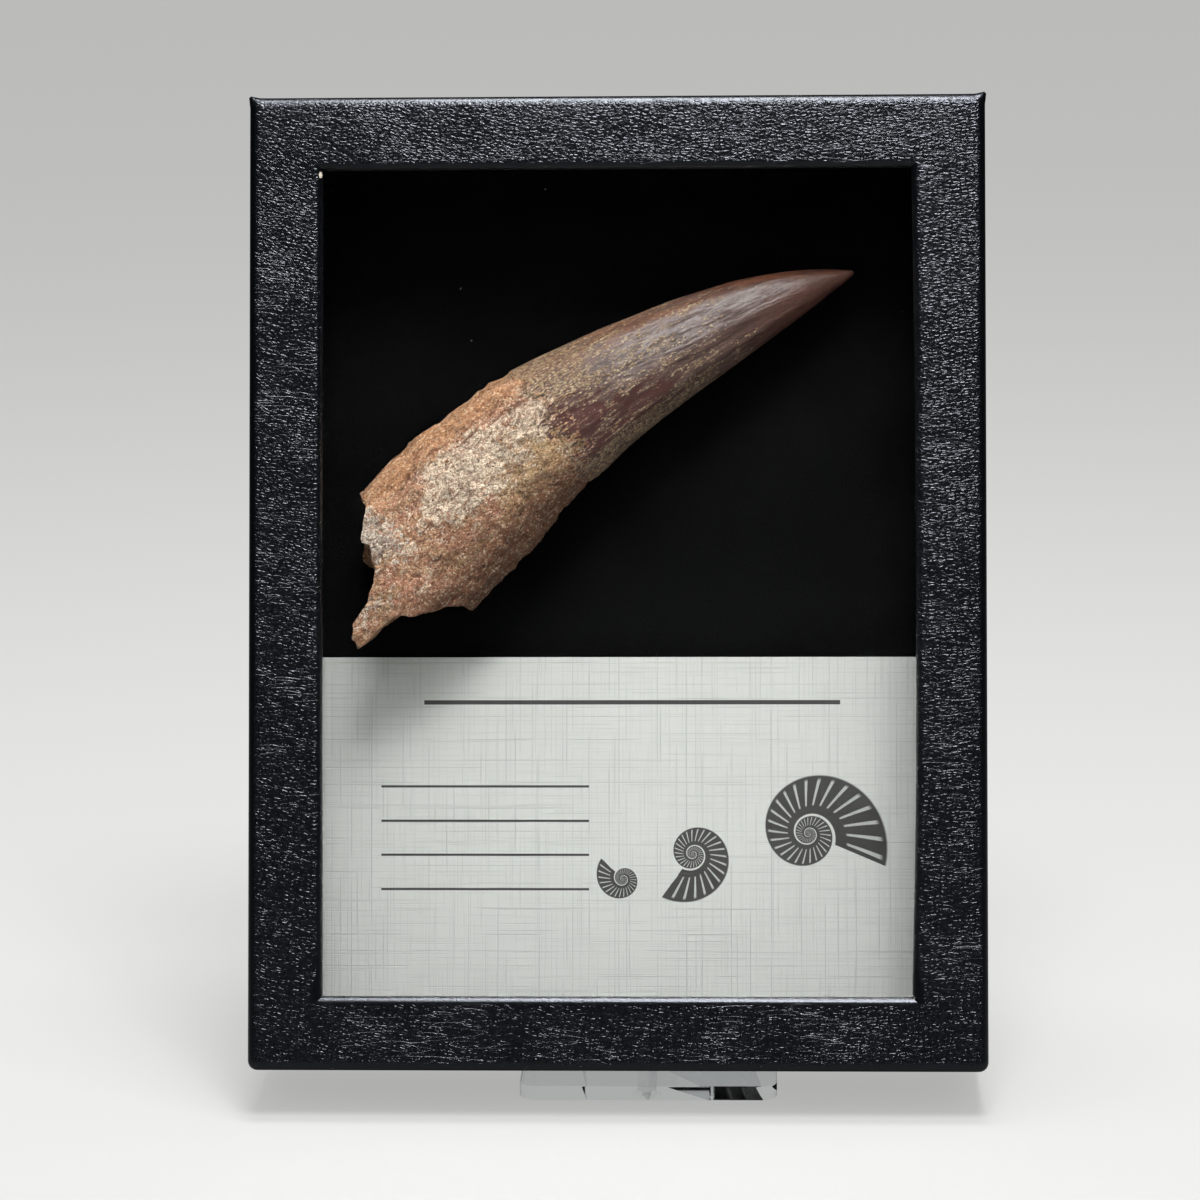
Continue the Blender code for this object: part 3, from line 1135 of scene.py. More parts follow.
    def root(self, straight: Wire, girth: Wire) -> tuple[Wire, ...]:
        """Paint the root and its broken end.

        Args:
            straight: The place along, across and through the tooth in millimetres.
            girth: The place across and through as shares, and how far inside the break.

        Returns:
            Its colour and height.
        """
        s, _, _ = straight.parts()
        side, _, inside = girth.parts()
        flat = straight.drawn_out(0.7)
        tint = flat.noise(0.28, 5.0, 0.65)
        dome, chance, shade, third = flat.grains(self.root_grain)
        lump, lump_chance, lump_shade, _ = flat.grains(1.1)
        chance = chance * 0.55 + lump_chance * 0.45

        colour = tint.rise(0.36, 0.64).between(self.sand, self.rose)
        colour = colour.painted(self.gold, self.golden.drawn_on(straight) * 0.9)
        edge = side.rise(0.5, 0.75) * s.rise(124.0, 108.0, 0.5, 1.0)
        colour = colour.painted(self.orange, edge * 0.8)
        # The lower side is painted darker umber: partly the root's own brown, partly painted shade on the
        # side turned away from the overhead light.
        colour = colour.painted(self.umber, side.rise(-0.3, -0.8) * 0.95)

        pale = self.pale.drawn_on(straight).most(self.pale_neck.drawn_on(straight))
        pale = pale.most(flat.noise(0.12, 4.0, 0.6).rise(0.47, 0.68) * 0.75)
        pale = pale * side.rise(-0.7, -0.25) * side.rise(0.8, 0.55)
        colour = colour.painted(self.cream, sifted(pale * 0.95, chance) * 0.9)
        chalky = self.chalky.drawn_on(straight).most(self.chalky_end.drawn_on(straight) * 0.5)
        colour = colour.painted(self.chalk, sifted(chalky * 0.8, chance) * 0.8)
        run = self.rust_run.drawn_on(straight) * straight.drawn_out(0.12).noise(0.9, 4.0).rise(0.5, 0.58)
        colour = colour.painted(self.rusty_grain, run * 0.8)
        colour = colour.painted(tint.rise(0.4, 0.6).between(self.hollow, self.sand), inside)

        colour = colour.painted(self.pale_grain, shade.rise(0.6, 0.95) * 0.36)
        colour = colour.painted(self.rusty_grain, shade.rise(0.34, 0.1) * 0.6)
        colour = colour.painted(self.umber, lump_shade.rise(0.3, 0.05) * 0.4)
        cracks = (straight.drawn_out(0.3).noise(0.42, 5.0, 0.62, 0.6).band(0.5, 0.004, 0.022)
                  * flat.noise(0.2, 2.0).rise(0.42, 0.58))
        colour = colour.painted(self.rusty_grain, cracks * 0.6)
        # Painted shade: the low gaps between the grains are darkened.
        colour = colour.painted(self.rusty_grain, dome.rise(0.25, 0.0) * 0.4)
        # The pits are lowered and painted dark: painted shade in the pits.
        holes = third.rise(0.07, 0.04) * dome.rise(0.15, 0.5)
        colour = colour.painted(self.pit_shade, holes * 0.85)

        fine = flat.noise(5.0, 3.0, 0.7)
        height = (dome * 0.5 + lump * lump_shade * 1.2 + fine * 0.7 + holes * -0.8
                  + cracks * -1.3) * (1.0 - edge * 0.55)
        return colour, height


@dataclass(frozen=True)
class Sweep:
    """The pale studio floor: evenly bright to the eye, and throwing little light back up."""

    seen: Colour = tone(136, 136, 135)
    bounced: Colour = tone(96, 96, 96)
    glow: Colour = (1.0, 1.0, 0.99)
    lift: float = 0.42

    def make(self) -> bpy.types.Material:
        """Build the material.

        Returns:
            The material.
        """
        recipe = Recipe("pale studio floor")
        eye = recipe.ray("Is Camera Ray").most(recipe.ray("Is Transmission Ray"))
        recipe.set(Base_Color=eye.between(self.bounced, self.seen), Roughness=0.9,
                   Specular_IOR_Level=0.2, Emission_Color=self.glow, Emission_Strength=eye * self.lift)
        return recipe.material


# Sub-assemblies

@dataclass
class CasePiece:
    """A piece that is drawn upright in the case frame."""

    case: CaseFrame

    def block(self, name: str, inset: float, front: float, back: float) -> bpy.types.Object:
        """Add a block as wide and high as the case, but for an inset.

        Args:
            name: The piece's name.
            inset: From the case's outer sides, top and bottom.
            front: How far its front stands off the back of the case.
            back: How far its back does.

        Returns:
            The block.
        """
        half = self.case.width / 2 - inset
        return add_block(name, (-half, -front, inset), (half, -back, self.case.height - inset))

    def settled(self, piece: bpy.types.Object) -> bpy.types.Object:
        """Shade a finished piece and lean it back.

        Args:
            piece: The piece.

        Returns:
            The same piece.
        """
        shade(piece)
        self.case.settle(piece)
        return piece


@dataclass
class Lid(CasePiece):
    """The lid: a card box with a window, covered in leatherette."""

    board: float = 2.4 * MM
    reveal: float = 2.0 * MM
    edge_radius: float = 2.0 * MM
    window_radius: float = 1.7 * MM
    rim_radius: float = 0.6 * MM
    edge_steps: int = 5
    rim_steps: int = 3
    row: float = 3.0 * MM
    close_rows: tuple[float, ...] = (0.5 * MM, 1.2 * MM, 2.2 * MM)
    right_bow: float = 0.75 * MM
    right_tuck: float = 0.35 * MM
    left_bow: float = 0.25 * MM
    roll: float = 4.5 * MM
    roll_depth: float = 0.42 * MM
    dish: float = 0.12 * MM
    dish_waves: float = 22.0
    ear: float = 1.2 * MM
    ear_reach: float = 3.2 * MM
    ear_tip: float = 0.9 * MM
    ear_start: float = 5.0 * MM
    ear_end: float = 1.5 * MM
    ear_way: tuple[float, float] = (0.66, 0.81)

    def shell(self, name: str, inset: float, radius: float) -> bpy.types.Object:
        """An open box with a window, one face thick.

        Args:
            name: The shell's name.
            inset: How far it lies inside the lid's outer skin.
            radius: Radius of its outer edges.

        Returns:
            The shell.
        """
        shell = self.block(name, inset, self.case.depth - inset, self.reveal)
        with Editing(shell) as edit:
            edit.choose(lambda face: face.normal.y > 0.9)
            bpy.ops.mesh.delete(type='FACE')
            edit.choose(lambda face: face.normal.y < -0.9)
            bpy.ops.mesh.inset(thickness=self.case.rail - inset, use_even_offset=True)
            bpy.ops.mesh.delete(type='FACE')
        with Editing(shell, 'EDGE') as edit:
            edit.choose(lambda edge: self.on_outer_edge(edge, inset))
            bpy.ops.mesh.bevel(offset=radius, segments=self.edge_steps, affect='EDGES')
        return shell

    def on_outer_edge(self, edge: bmesh.types.BMEdge, inset: float) -> bool:
        """Whether an edge is one of the box's outer corners, other than its open rim.

        Args:
            edge: The edge.
            inset: How far the shell lies inside the lid's outer skin.

        Returns:
            True where it lies on two of the shell's sides.
        """
        half = self.case.width / 2 - inset
        sides = [any(ends_at(edge, 0, side * half) for side in (-1, 1)),
                 ends_at(edge, 2, inset) or ends_at(edge, 2, self.case.height - inset),
                 ends_at(edge, 1, inset - self.case.depth)]
        return sum(sides) == 2

    def on_window_edge(self, edge: bmesh.types.BMEdge) -> bool:
        """Whether an edge is the window's front edge.

        Args:
            edge: The edge.

        Returns:
            True on the window's front edge.
        """
        case = self.case
        ends = [(case.height + side * case.window_height) / 2 for side in (-1, 1)]
        on_side = any(ends_at(edge, 0, side * case.window_width / 2) for side in (-1, 1))
        on_end = any(ends_at(edge, 2, end) for end in ends)
        inside = all(abs(vert.co.x) < case.width / 2 - self.board for vert in edge.verts)
        return ends_at(edge, 1, -case.depth) and (on_side or on_end) and inside

    def build(self) -> bpy.types.Object:
        """Model the lid from an outer and an inner shell joined at the window and the rim.

        Returns:
            The lid.
        """
        lid = self.shell("covered_lid", 0.0, self.edge_radius)
        lining = self.shell("lining", self.board, self.rim_radius)
        with Editing(lining) as edit:
            edit.choose_all()
            bpy.ops.mesh.flip_normals()
        make_active(lid)
        lining.select_set(True)
        bpy.ops.object.join()
        with Editing(lid, 'EDGE') as edit:
            edit.choose(lambda edge: edge.is_boundary and edge.verts[0].co.y < -self.case.depth / 2)
            bpy.ops.mesh.bridge_edge_loops()
            edit.choose(lambda edge: edge.is_boundary)
            bpy.ops.mesh.bridge_edge_loops()
            edit.choose(self.on_window_edge)
            bpy.ops.mesh.bevel(offset=self.window_radius, segments=self.edge_steps, affect='EDGES')
            edit.choose(lambda edge: ends_at(edge, 1, -self.reveal) and len(edge.link_faces) == 2
                        and edge.calc_face_angle(0.0) > radians(60))
            bpy.ops.mesh.bevel(offset=self.rim_radius, segments=self.rim_steps, affect='EDGES')
            self.cut_grid(edit)
        close_normals(lid)
        set_points(lid, self.handled(points_of(lid)))
        return self.settled(lid)

    def cut_grid(self, edit: Editing) -> None:
        """Cut the faces into rows, close together near the outer edges.

        Args:
            edit: The lid in edit mode.
        """
        half, high = self.case.width / 2, self.case.height
        rows = [half - step for step in self.close_rows]
        rows += list(np.arange(self.row, half - self.row, self.row))
        edit.cut_rows(0, [side * place for place in rows for side in (-1, 1)] + [0.0])
        rows = [*self.close_rows, *np.arange(2 * self.row, high, self.row)]
        edit.cut_rows(2, rows + [high - step for step in self.close_rows])

    def handled(self, points: np.ndarray) -> np.ndarray:
        """Small faults of a hand-covered card box: bowed rails, a dished front and folded ears.

        Args:
            points: The lid's vertices in the case frame.

        Returns:
            The moved vertices.
        """
        case = self.case
        x, y, z = points.T.copy()
        up = (z - case.height / 2) / (case.window_height / 2)
        front = smooth(-y, case.depth - 2 * self.board, case.depth - self.board)
        inner = smooth(np.abs(x), case.width / 2 - self.edge_radius, case.window_width / 2) * front
        bow = (1 - np.clip(up, -1, 1) ** 2)
        right = self.right_bow * bow - self.right_tuck * smooth(-up, 0.5, 1.0)
        left = self.left_bow * np.clip(-up, 0, 1)
        x = x + inner * np.where(x > 0, right, np.where(x < 0, left, 0.0))
        wave = 0.5 + 0.5 * noise_at(np.stack([x, np.zeros_like(x), z], 1), self.dish_waves)
        from_top = np.clip((case.height - z) / self.roll, 0.0, 1.0)
        y = y + self.roll_depth * (1 - from_top) ** 2 * front
        middle = np.minimum(case.width / 2 - np.abs(x), case.rail) / case.rail
        y = y + self.dish * wave * front * np.clip(middle * 4, 0, 1)
        for side in (-1, 1):
            apart = np.hypot(x - side * case.width / 2, z - case.height)
            near = np.clip((self.ear_reach - apart) / (self.ear_reach - self.ear_tip), 0.0, 1.0) ** 4
            pull = near * smooth(-y, case.depth - self.ear_start, case.depth - self.ear_end) * self.ear
            x = x + side * pull * self.ear_way[0]
            z = z + pull * self.ear_way[1]
        z = z * (case.height / max(z.max(), case.height))
        x = x * (case.width / 2 / max(np.abs(x).max(), case.width / 2))
        return np.stack([x, y, z], 1)


@dataclass
class Tray(CasePiece):
    """The tray that the lid slides over, with the covering turned in on its back."""

    inset: float = 2.75 * MM
    board: float = 2.0 * MM
    rim: float = 30.0 * MM
    turn_in: float = 13.0 * MM
    paper: float = 0.18 * MM
    back_radius: float = 0.8 * MM
    rim_radius: float = 0.3 * MM

    def build(self) -> bpy.types.Object:
        """Model the tray.

        Returns:
            The tray.
        """
        tray = self.block("tray", self.inset, self.rim, 0.0)
        with Editing(tray) as edit:
            edit.choose(lambda face: face.normal.y < -0.9)
            bpy.ops.mesh.inset(thickness=self.board, use_even_offset=True)
            bpy.ops.mesh.extrude_region_move(
                TRANSFORM_OT_translate={"value": (0, self.rim - self.board, 0)})
            edit.choose(lambda face: face.normal.y > 0.9)
            bpy.ops.mesh.inset(thickness=self.turn_in, use_even_offset=True)
            bpy.ops.mesh.inset(thickness=self.paper, depth=-self.paper, use_even_offset=True)
        with Editing(tray, 'EDGE') as edit:
            edit.choose(lambda edge: edge.calc_face_angle(0.0) > radians(60)
                        and edge.calc_length() > 10 * MM and max(v.co.y for v in edge.verts) > -NEAR)
            bpy.ops.mesh.bevel(offset=self.back_radius, segments=3, affect='EDGES')
            edit.choose(lambda edge: ends_at(edge, 1, -self.rim))
            bpy.ops.mesh.bevel(offset=self.rim_radius, segments=2, affect='EDGES')
        return self.settled(tray)


@dataclass
class Pane(CasePiece):
    """The glass behind the lid's window."""

    inset: float = 2.7 * MM
    thickness: float = 2.0 * MM
    arris: float = 0.12 * MM

    def build(self) -> bpy.types.Object:
        """Model the pane.

        Returns:
            The pane.
        """
        middle, half = self.case.pane_middle, self.thickness / 2
        pane = self.block("window_pane", self.inset, middle + half, middle - half)
        finish_modifier(pane, 'BEVEL', width=self.arris, segments=2)
        return self.settled(pane)


@dataclass
class Backing(CasePiece):
    """The velvet-covered pad glued in the bottom of the tray."""

    inset: float = 5.05 * MM
    back: float = 2.3 * MM
    front: float = 4.0 * MM
    edge_radius: float = 1.0 * MM
    rows: float = 2.0 * MM
    unevenness: float = 0.1 * MM
    lumps: float = 45.0

    def build(self) -> bpy.types.Object:
        """Model the pad, a little uneven and rounded at its edges.

        Returns:
            The pad.
        """
        half, high = self.case.width / 2 - self.inset, self.case.height - self.inset
        pad = self.block("velvet_pad", self.inset, self.front, self.back)
        with Editing(pad, 'EDGE') as edit:
            edit.choose(lambda edge: max(vert.co.y for vert in edge.verts) < -self.back - NEAR)
            bpy.ops.mesh.bevel(offset=self.edge_radius, segments=4, affect='EDGES')
            edit.cut_rows(0, np.arange(-half + 2 * self.rows, half - self.rows, self.rows))
            edit.cut_rows(2, np.arange(self.inset + 2 * self.rows, high - self.rows, self.rows))
        points = points_of(pad)
        face = smooth(-points[:, 1], self.back, self.front)
        points[:, 1] += face * self.unevenness * (0.5 + 0.5 * noise_at(points, self.lumps))
        set_points(pad, points)
        return self.settled(pad)


@dataclass
class LabelCard(CasePiece):
    """The label card that lies over the lower part of the pad."""

    inset: float = 5.35 * MM
    back: float = 4.3 * MM
    thickness: float = 1.1 * MM
    top_below_middle: float = 16.0 * MM
    arris: float = 0.16 * MM
    rows: float = 4.0 * MM
    warp: float = 0.1 * MM
    waves: float = 14.0

    def build(self) -> bpy.types.Object:
        """Model the card with a fine bevelled edge and a slight warp.

        Returns:
            The card.
        """
        half = self.case.width / 2 - self.inset
        top = self.case.height / 2 - self.top_below_middle
        card = add_block("printed_card", (-half, -self.back - self.thickness, self.inset),
                         (half, -self.back, top))
        finish_modifier(card, 'BEVEL', width=self.arris, segments=2)
        with Editing(card, 'EDGE') as edit:
            edit.cut_rows(0, np.arange(-half + self.rows, half - self.rows / 2, self.rows))
            edit.cut_rows(2, np.arange(self.inset + self.rows, top - self.rows / 2, self.rows))
        points = points_of(card)
        flat = points * np.array((1.0, 0.0, 1.0))
        points[:, 1] += self.warp * (0.5 + 0.5 * noise_at(flat, self.waves))
        set_points(card, points)
        return self.settled(card)


@dataclass
class Easel:
    """The clear easel: a flat sheet with a tongue cut free in its middle and bent up."""

    case: CaseFrame
    sheet: float = 3.2 * MM
    ahead: float = 20.3 * MM
    tongue_width: float = 26.6 * MM
    tongue_length: float = 72.0 * MM
    kerf: float = 1.0 * MM
    bend_radius: float = 3.0 * MM
    bend_steps: int = 12
    corner: float = 3.5 * MM
    tongue_corner: float = 5.0 * MM
    arris: float = 0.25 * MM

    def build(self) -> bpy.types.Object:
        """Cut the sheet flat, bend its tongue up and give it its thickness.

        Returns:
            The easel.
        """
        low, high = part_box("easel")
        half = self.sheet / 2
        middle = (low.x + high.x) / 2
        tongue = self.tongue_width / 2
        slot = tongue + self.kerf
        lean = self.case.lean
        radius = self.bend_radius + half
        turn = pi / 2 - lean
        foot = low.y + self.ahead
        slot_front = foot + half / cos(lean) - half * tan(lean) - radius * tan(turn / 2)
        slot_back = slot_front + self.tongue_length + self.kerf

        deselect_all()
        bpy.ops.mesh.primitive_plane_add(size=1.0, location=(middle, (low.y + high.y) / 2, half))
        easel = named(bpy.context.object, "clear_easel")
        easel.scale = (high.x - low.x, high.y - low.y, 1.0)
        bpy.ops.object.transform_apply(location=True, rotation=True, scale=True)
        with Editing(easel) as edit:
            edit.cut_rows(0, [middle + across for across in (-slot, -tongue, 0.0, tongue, slot)])
            edit.cut_rows(1, [slot_front, slot_back])
            edit.choose(lambda face: abs(face.calc_center_median().x - middle) < slot
                        and slot_front < face.calc_center_median().y < slot_back)
            bpy.ops.mesh.delete(type='FACE')
        with Editing(easel, 'EDGE') as edit:
            edit.choose(lambda edge: not edge.is_boundary and not ends_at(edge, 0, middle))
            bpy.ops.mesh.dissolve_edges(use_verts=False)
            edit.choose(lambda edge: ends_at(edge, 1, slot_front)
                        and all(abs(vert.co.x - middle) < tongue + NEAR for vert in edge.verts))
            bpy.ops.mesh.spin(steps=self.bend_steps, angle=turn, axis=(-1, 0, 0),
                              center=(0, slot_front, half + radius))
            straight = self.tongue_length - radius * turn
            bpy.ops.mesh.extrude_region_move(TRANSFORM_OT_translate={
                "value": (0, straight * sin(lean), straight * cos(lean))})
        top = max(points_of(easel)[:, 2])
        self.round_corners(easel, self.corner, lambda co: (
            co.z < self.sheet and at(abs(co.x - middle), high.x - middle)
            and (at(co.y, low.y) or at(co.y, high.y))))
        self.round_corners(easel, self.tongue_corner + self.kerf, lambda co: (
            at(co.y, slot_back) and at(abs(co.x - middle), slot)))
        self.round_corners(easel, self.tongue_corner, lambda co: (
            at(co.z, top) and at(abs(co.x - middle), tongue)))
        finish_modifier(easel, 'SOLIDIFY', thickness=self.sheet, offset=0.0, use_even_offset=True)
        close_normals(easel)
        finish_modifier(easel, 'BEVEL', width=self.arris, segments=2, limit_method='ANGLE',
                        angle_limit=radians(60))
        shade(easel, radians(30))
        return easel

    def round_corners(self, easel: bpy.types.Object, radius: float,
                      test: Callable[[Vector], bool]) -> None:
        """Round some of the flat sheet's corners.

        Args:
            easel: The sheet.
            radius: The corners' radius.
            test: Takes a corner's place and says whether it is wanted.
        """
        with Editing(easel, 'VERT') as edit:
            edit.choose(lambda vert: test(vert.co))
            bpy.ops.mesh.bevel(offset=radius, segments=10, affect='VERTICES')


# How high, how many for each millimetre, and how far moved so that two layers differ.
Layers = tuple[tuple[float, float, float], ...]


def layered(start: np.ndarray | float, place: np.ndarray, layers: Layers) -> np.ndarray:
    """Add layers of noise to a value.

    Args:
        start: The value.
        place: Where each layer is looked up.
        layers: The layers.

    Returns:
        The value with every layer added.
    """
    for height, scale, offset in layers:
        start = start + height * noise_at(place, scale, offset)
    return start


def share_near(points: np.ndarray, place: tuple[float, float], reach: float) -> np.ndarray:
    """1 at a place, falling evenly to 0 at a reach from it."""
    return np.maximum(0.0, 1 - np.linalg.norm(points - np.array(place), axis=1) / reach)


@dataclass
class Tooth:
    """The fossil tooth: a fluted crown and a rough root that is broken off and hollow.

    Its own sizes are in millimetres.
    """

    case: CaseFrame
    length: float = 150.0
    middle_depth: float = 16.75
    tip_drop: float = 3.4
    tip_drop_end: float = 80.0
    crown_length: float = 75.0
    enamel_margin: Layers = ((6.0, 0.070, 4.0), (4.5, 0.19, 1.0), (1.6, 0.5, 9.0))
    mingled: float = 4.5
    flutes: int = 12
    flute_depth: float = 0.3
    flute_sway: Layers = ((2.2, 0.060, 0.0),)
    stria_depth: float = 0.035
    stria_sway: Layers = ((5.0, 0.09, 3.0),)
    keel_height: float = 0.45
    keel_sharpness: int = 60
    crown_grit: Layers = ((0.05, 0.45, 5.0),)
    smooth_tip: tuple[float, float] = (8.0, 26.0)
    enamel_step: float = 0.4
    roughness: float = 0.8
    root_lumps: Layers = ((1.0, 0.095, 0.0), (0.7, 0.230, 0.0))
    root_grit: Layers = ((0.34, 0.62, 2.0), (0.2, 1.25, 6.0))
    pit_depth: float = 0.55
    pits: Layers = ((1.0, 0.36, 11.0),)
    rings: int = 360
    around: int = 216
    crowding: float = 1.25
    # Along the axis from the tip, then across and up from the middle of the case, half width and
    # half thickness.
    stations: tuple[tuple[float, ...], ...] = (
        (0.0, 51.5, 68.3, 0.0, 0.0), (2.5, 49.0, 67.4, 1.5, 1.5), (7.0, 44.6, 66.0, 3.1, 3.0),
        (21.0, 31.4, 60.7, 6.8, 6.0), (35.0, 18.9, 54.6, 9.3, 8.2), (49.0, 6.6, 47.9, 11.2, 9.9),
        (63.0, -5.1, 40.9, 13.1, 11.2), (77.0, -16.4, 32.9, 15.5, 11.9),
        (91.0, -27.2, 23.9, 17.5, 12.1), (105.0, -37.2, 14.1, 18.4, 12.1),
        (118.0, -46.4, 4.8, 18.5, 11.9), (133.0, -57.0, -6.0, 18.0, 11.5),
        (150.0, -69.0, -18.2, 17.2, 11.0),
    )
    # Across and up from the middle of the case.
    break_line: tuple[tuple[float, float], ...] = (
        (-62.0, 24.5), (-56.6, 19.0), (-54.6, 16.4), (-55.4, 12.0), (-56.2, 5.2), (-53.0, 2.6),
        (-52.6, 0.2), (-54.0, -4.4), (-57.1, -9.1), (-57.4, -12.4), (-56.3, -14.4), (-54.4, -13.2),
        (-52.4, -10.8), (-48.7, -7.8), (-44.2, -7.3), (-38.3, -5.4), (-34.8, -5.2), (-31.8, -7.0),
        (-28.0, -12.0),
    )
    break_outside: tuple[tuple[float, float], ...] = ((-40.0, -40.0), (-95.0, -40.0), (-95.0, 24.5))
    break_layers: int = 72
    break_step: float = 0.45
    break_pull: float = 0.7
    break_ragged: float = 1.1
    break_turns: float = 6.0
    break_scale: float = 0.21
    break_grit: Layers = ((0.32, 0.45, 3.0), (0.2, 1.1, 8.0))
    break_slant: float = 5.0
    slant_everywhere: float = 0.25
    slant_at_spur: float = 2.2
    spur: tuple[float, float] = (-56.5, -13.0)
    spur_reach: float = 14.0
    notch: tuple[float, float] = (-56.4, 5.0)
    notch_reach: float = 3.0
    notch_depth: float = 3.0
    pulp_mouth: tuple[float, float] = (8.6, 4.6)
    pulp_start: float = 122.0
    pulp_depth: float = 30.0
    pulp_overshoot: float = 12.0
    pulp_wobble: Layers = ((0.12, 1.0, 0.0), (0.05, 4.0, 5.0))
    axis_samples: int = 1501

    def station(self, distance: np.ndarray) -> tuple[np.ndarray, ...]:
        """Follow the tooth's axis with a smooth curve through the stations.

        Args:
            distance: Along the axis from the tip.

        Returns:
            The centre's x and z, the half width and the half thickness.
        """
        rows = np.array(self.stations)
        index = np.clip(np.searchsorted(rows[:, 0], distance + 1e-4, side='right') - 1, 0, len(rows) - 2)
        here, after = rows[index], rows[index + 1]
        before = rows[np.maximum(index - 1, 0)]
        beyond = rows[np.minimum(index + 2, len(rows) - 1)]
        span = after[:, 0] - here[:, 0]
        t = (distance - here[:, 0]) / span
        found = []
        for column, power in ((1, 1), (2, 1), (3, 2), (4, 2)):
            v0, v1, v2, v3 = (row[:, column] ** power for row in (before, here, after, beyond))
            slope_in = (v2 - v0) / np.maximum(after[:, 0] - before[:, 0], 0.001) * span
            slope_out = (v3 - v1) / np.maximum(beyond[:, 0] - here[:, 0], 0.001) * span
            value = ((2 * t ** 3 - 3 * t ** 2 + 1) * v1 + (t ** 3 - 2 * t ** 2 + t) * slope_in
                     + (3 * t ** 2 - 2 * t ** 3) * v2 + (t ** 3 - t ** 2) * slope_out)
            found.append(np.sqrt(np.maximum(value, 0.0)) if power == 2 else value)
        return tuple(found)

    def heading(self, distance: np.ndarray) -> tuple[np.ndarray, np.ndarray]:
        """Find which way the axis runs.

        Args:
            distance: Along the axis from the tip.

        Returns:
            The x and z of its unit direction, away from the tip.
        """
        ahead_x, ahead_z, _, _ = self.station(np.minimum(distance + 0.5, self.length))
        behind_x, behind_z, _, _ = self.station(np.maximum(distance - 0.5, 0.0))
        along = np.stack([ahead_x - behind_x, ahead_z - behind_z], 1)
        along /= np.linalg.norm(along, axis=1)[:, None]
        return along[:, 0], along[:, 1]

    def axis_depth(self, distance: np.ndarray) -> np.ndarray:
        """How far the axis stands off the back of the case."""
        return self.middle_depth - self.tip_drop * (1 - smooth(distance, 0.0, self.tip_drop_end))

    def root_share(self, distance: np.ndarray, place: np.ndarray, soft: float = 1.0) -> np.ndarray:
        """Tell enamel from root.

        Args:
            distance: Along the axis from the tip.
            place: Where the ragged line between them is looked up.
            soft: How far the line is spread to either side.

        Returns:
            0 on the enamel and 1 on the root.
        """
        ragged = layered(distance, place, self.enamel_margin)
        return smooth(ragged, self.crown_length - soft, self.crown_length + soft)

    def relief(self, distance: np.ndarray, around: np.ndarray, place: np.ndarray) -> np.ndarray:
        """Model the skin's fine form.

        Args:
            distance: Along the axis from the tip.
            around: Angle round the axis.
            place: Where the noise is looked up.

        Returns:
            How far the skin stands off its smooth form.
        """
        root = self.root_share(distance, place)
        fade = smooth(distance, *self.smooth_tip)
        flute_angle = layered(self.flutes * around, place, self.flute_sway)
        flutes = -self.flute_depth * (0.5 + 0.5 * np.cos(flute_angle))
        striae = self.stria_depth * np.cos(layered(5 * self.flutes * around, place, self.stria_sway))
        keel = self.keel_height * np.abs(np.cos(around)) ** self.keel_sharpness
        crown = (flutes + striae + keel) * fade + layered(0.0, place, self.crown_grit) * fade
        coarse = layered(0.0, place, self.root_lumps) - 0.4
        pits = -self.pit_depth * smooth(layered(0.0, place, self.pits), 0.38, 0.62)
        rough = (self.roughness * coarse + layered(0.0, place, self.root_grit) + pits
                 - self.enamel_step)
        return (1 - root) * crown + root * rough

    def skin(self, distance: np.ndarray, around: np.ndarray) -> np.ndarray:
        """Points of the skin of the whole tooth, in millimetres from the middle of the case.

        Args:
            distance: Along the axis from the tip.
            around: Angle round the axis; 0 points to the outer curve.

        Returns:
            Rows of x, y and z, with y from the back of the case.
        """
        centre_x, centre_z, half_width, half_thickness = self.station(distance)
        across_z, across_x = self.heading(distance)
        across_z = -across_z
        out = half_width * np.cos(around)
        place = np.stack([centre_x + across_x * out, half_thickness * np.sin(around),
                          centre_z + across_z * out], 1)
        relief = self.relief(distance, around, place)
        outward = np.stack([across_x * np.cos(around), np.sin(around), across_z * np.cos(around)], 1)
        place = place + outward * relief[:, None]
        place[:, 1] -= self.axis_depth(distance)
        return place

    def in_case(self, place: np.ndarray) -> np.ndarray:
        """Millimetres from the middle of the case as metres in the case frame."""
        return place * MM + np.array((0.0, 0.0, self.case.height / 2))

    def whole(self) -> bpy.types.Object:
        """Roll a fine grid into crown and unbroken root, and close it.

        Returns:
            The closed tooth.
        """
        deselect_all()
        bpy.ops.mesh.primitive_grid_add(x_subdivisions=self.around, y_subdivisions=self.rings, size=1.0)
        tooth = named(bpy.context.object, "fossil_tooth")
        grid = points_of(tooth)
        distance = self.length * (grid[:, 1] + 0.5).clip(0, 1) ** self.crowding
        set_points(tooth, self.in_case(self.skin(distance, TURN * (grid[:, 0] + 0.5))))
        with Editing(tooth, 'EDGE') as edit:
            edit.choose_all()
            bpy.ops.mesh.remove_doubles(threshold=0.002 * MM)
            edit.choose(lambda item: item.is_boundary)
            bpy.ops.mesh.edge_face_add()
        close_normals(tooth)
        return tooth

    def cutter(self, name: str, rings: list[np.ndarray]) -> bpy.types.Object:
        """A closed solid from rings of points, for taking away.

        Args:
            name: Its name.
            rings: Rows of points in millimetres from the middle of the case, each the same length.

        Returns:
            The cutter.
        """
        made = bmesh.new()
        rows = [[made.verts.new(point) for point in self.in_case(ring).tolist()] for ring in rings]
        for first, second in zip(rows, rows[1:]):
            for i, vert in enumerate(first):
                j = (i + 1) % len(first)
                made.faces.new((vert, first[j], second[j], second[i]))
        bmesh.ops.triangulate(made, faces=[made.faces.new(rows[0]), made.faces.new(rows[-1])])
        bmesh.ops.recalc_face_normals(made, faces=made.faces)
        mesh = bpy.data.meshes.new(name)
        made.to_mesh(mesh)
        made.free()
        cutter = bpy.data.objects.new(name, mesh)
        bpy.context.collection.objects.link(cutter)
        return cutter

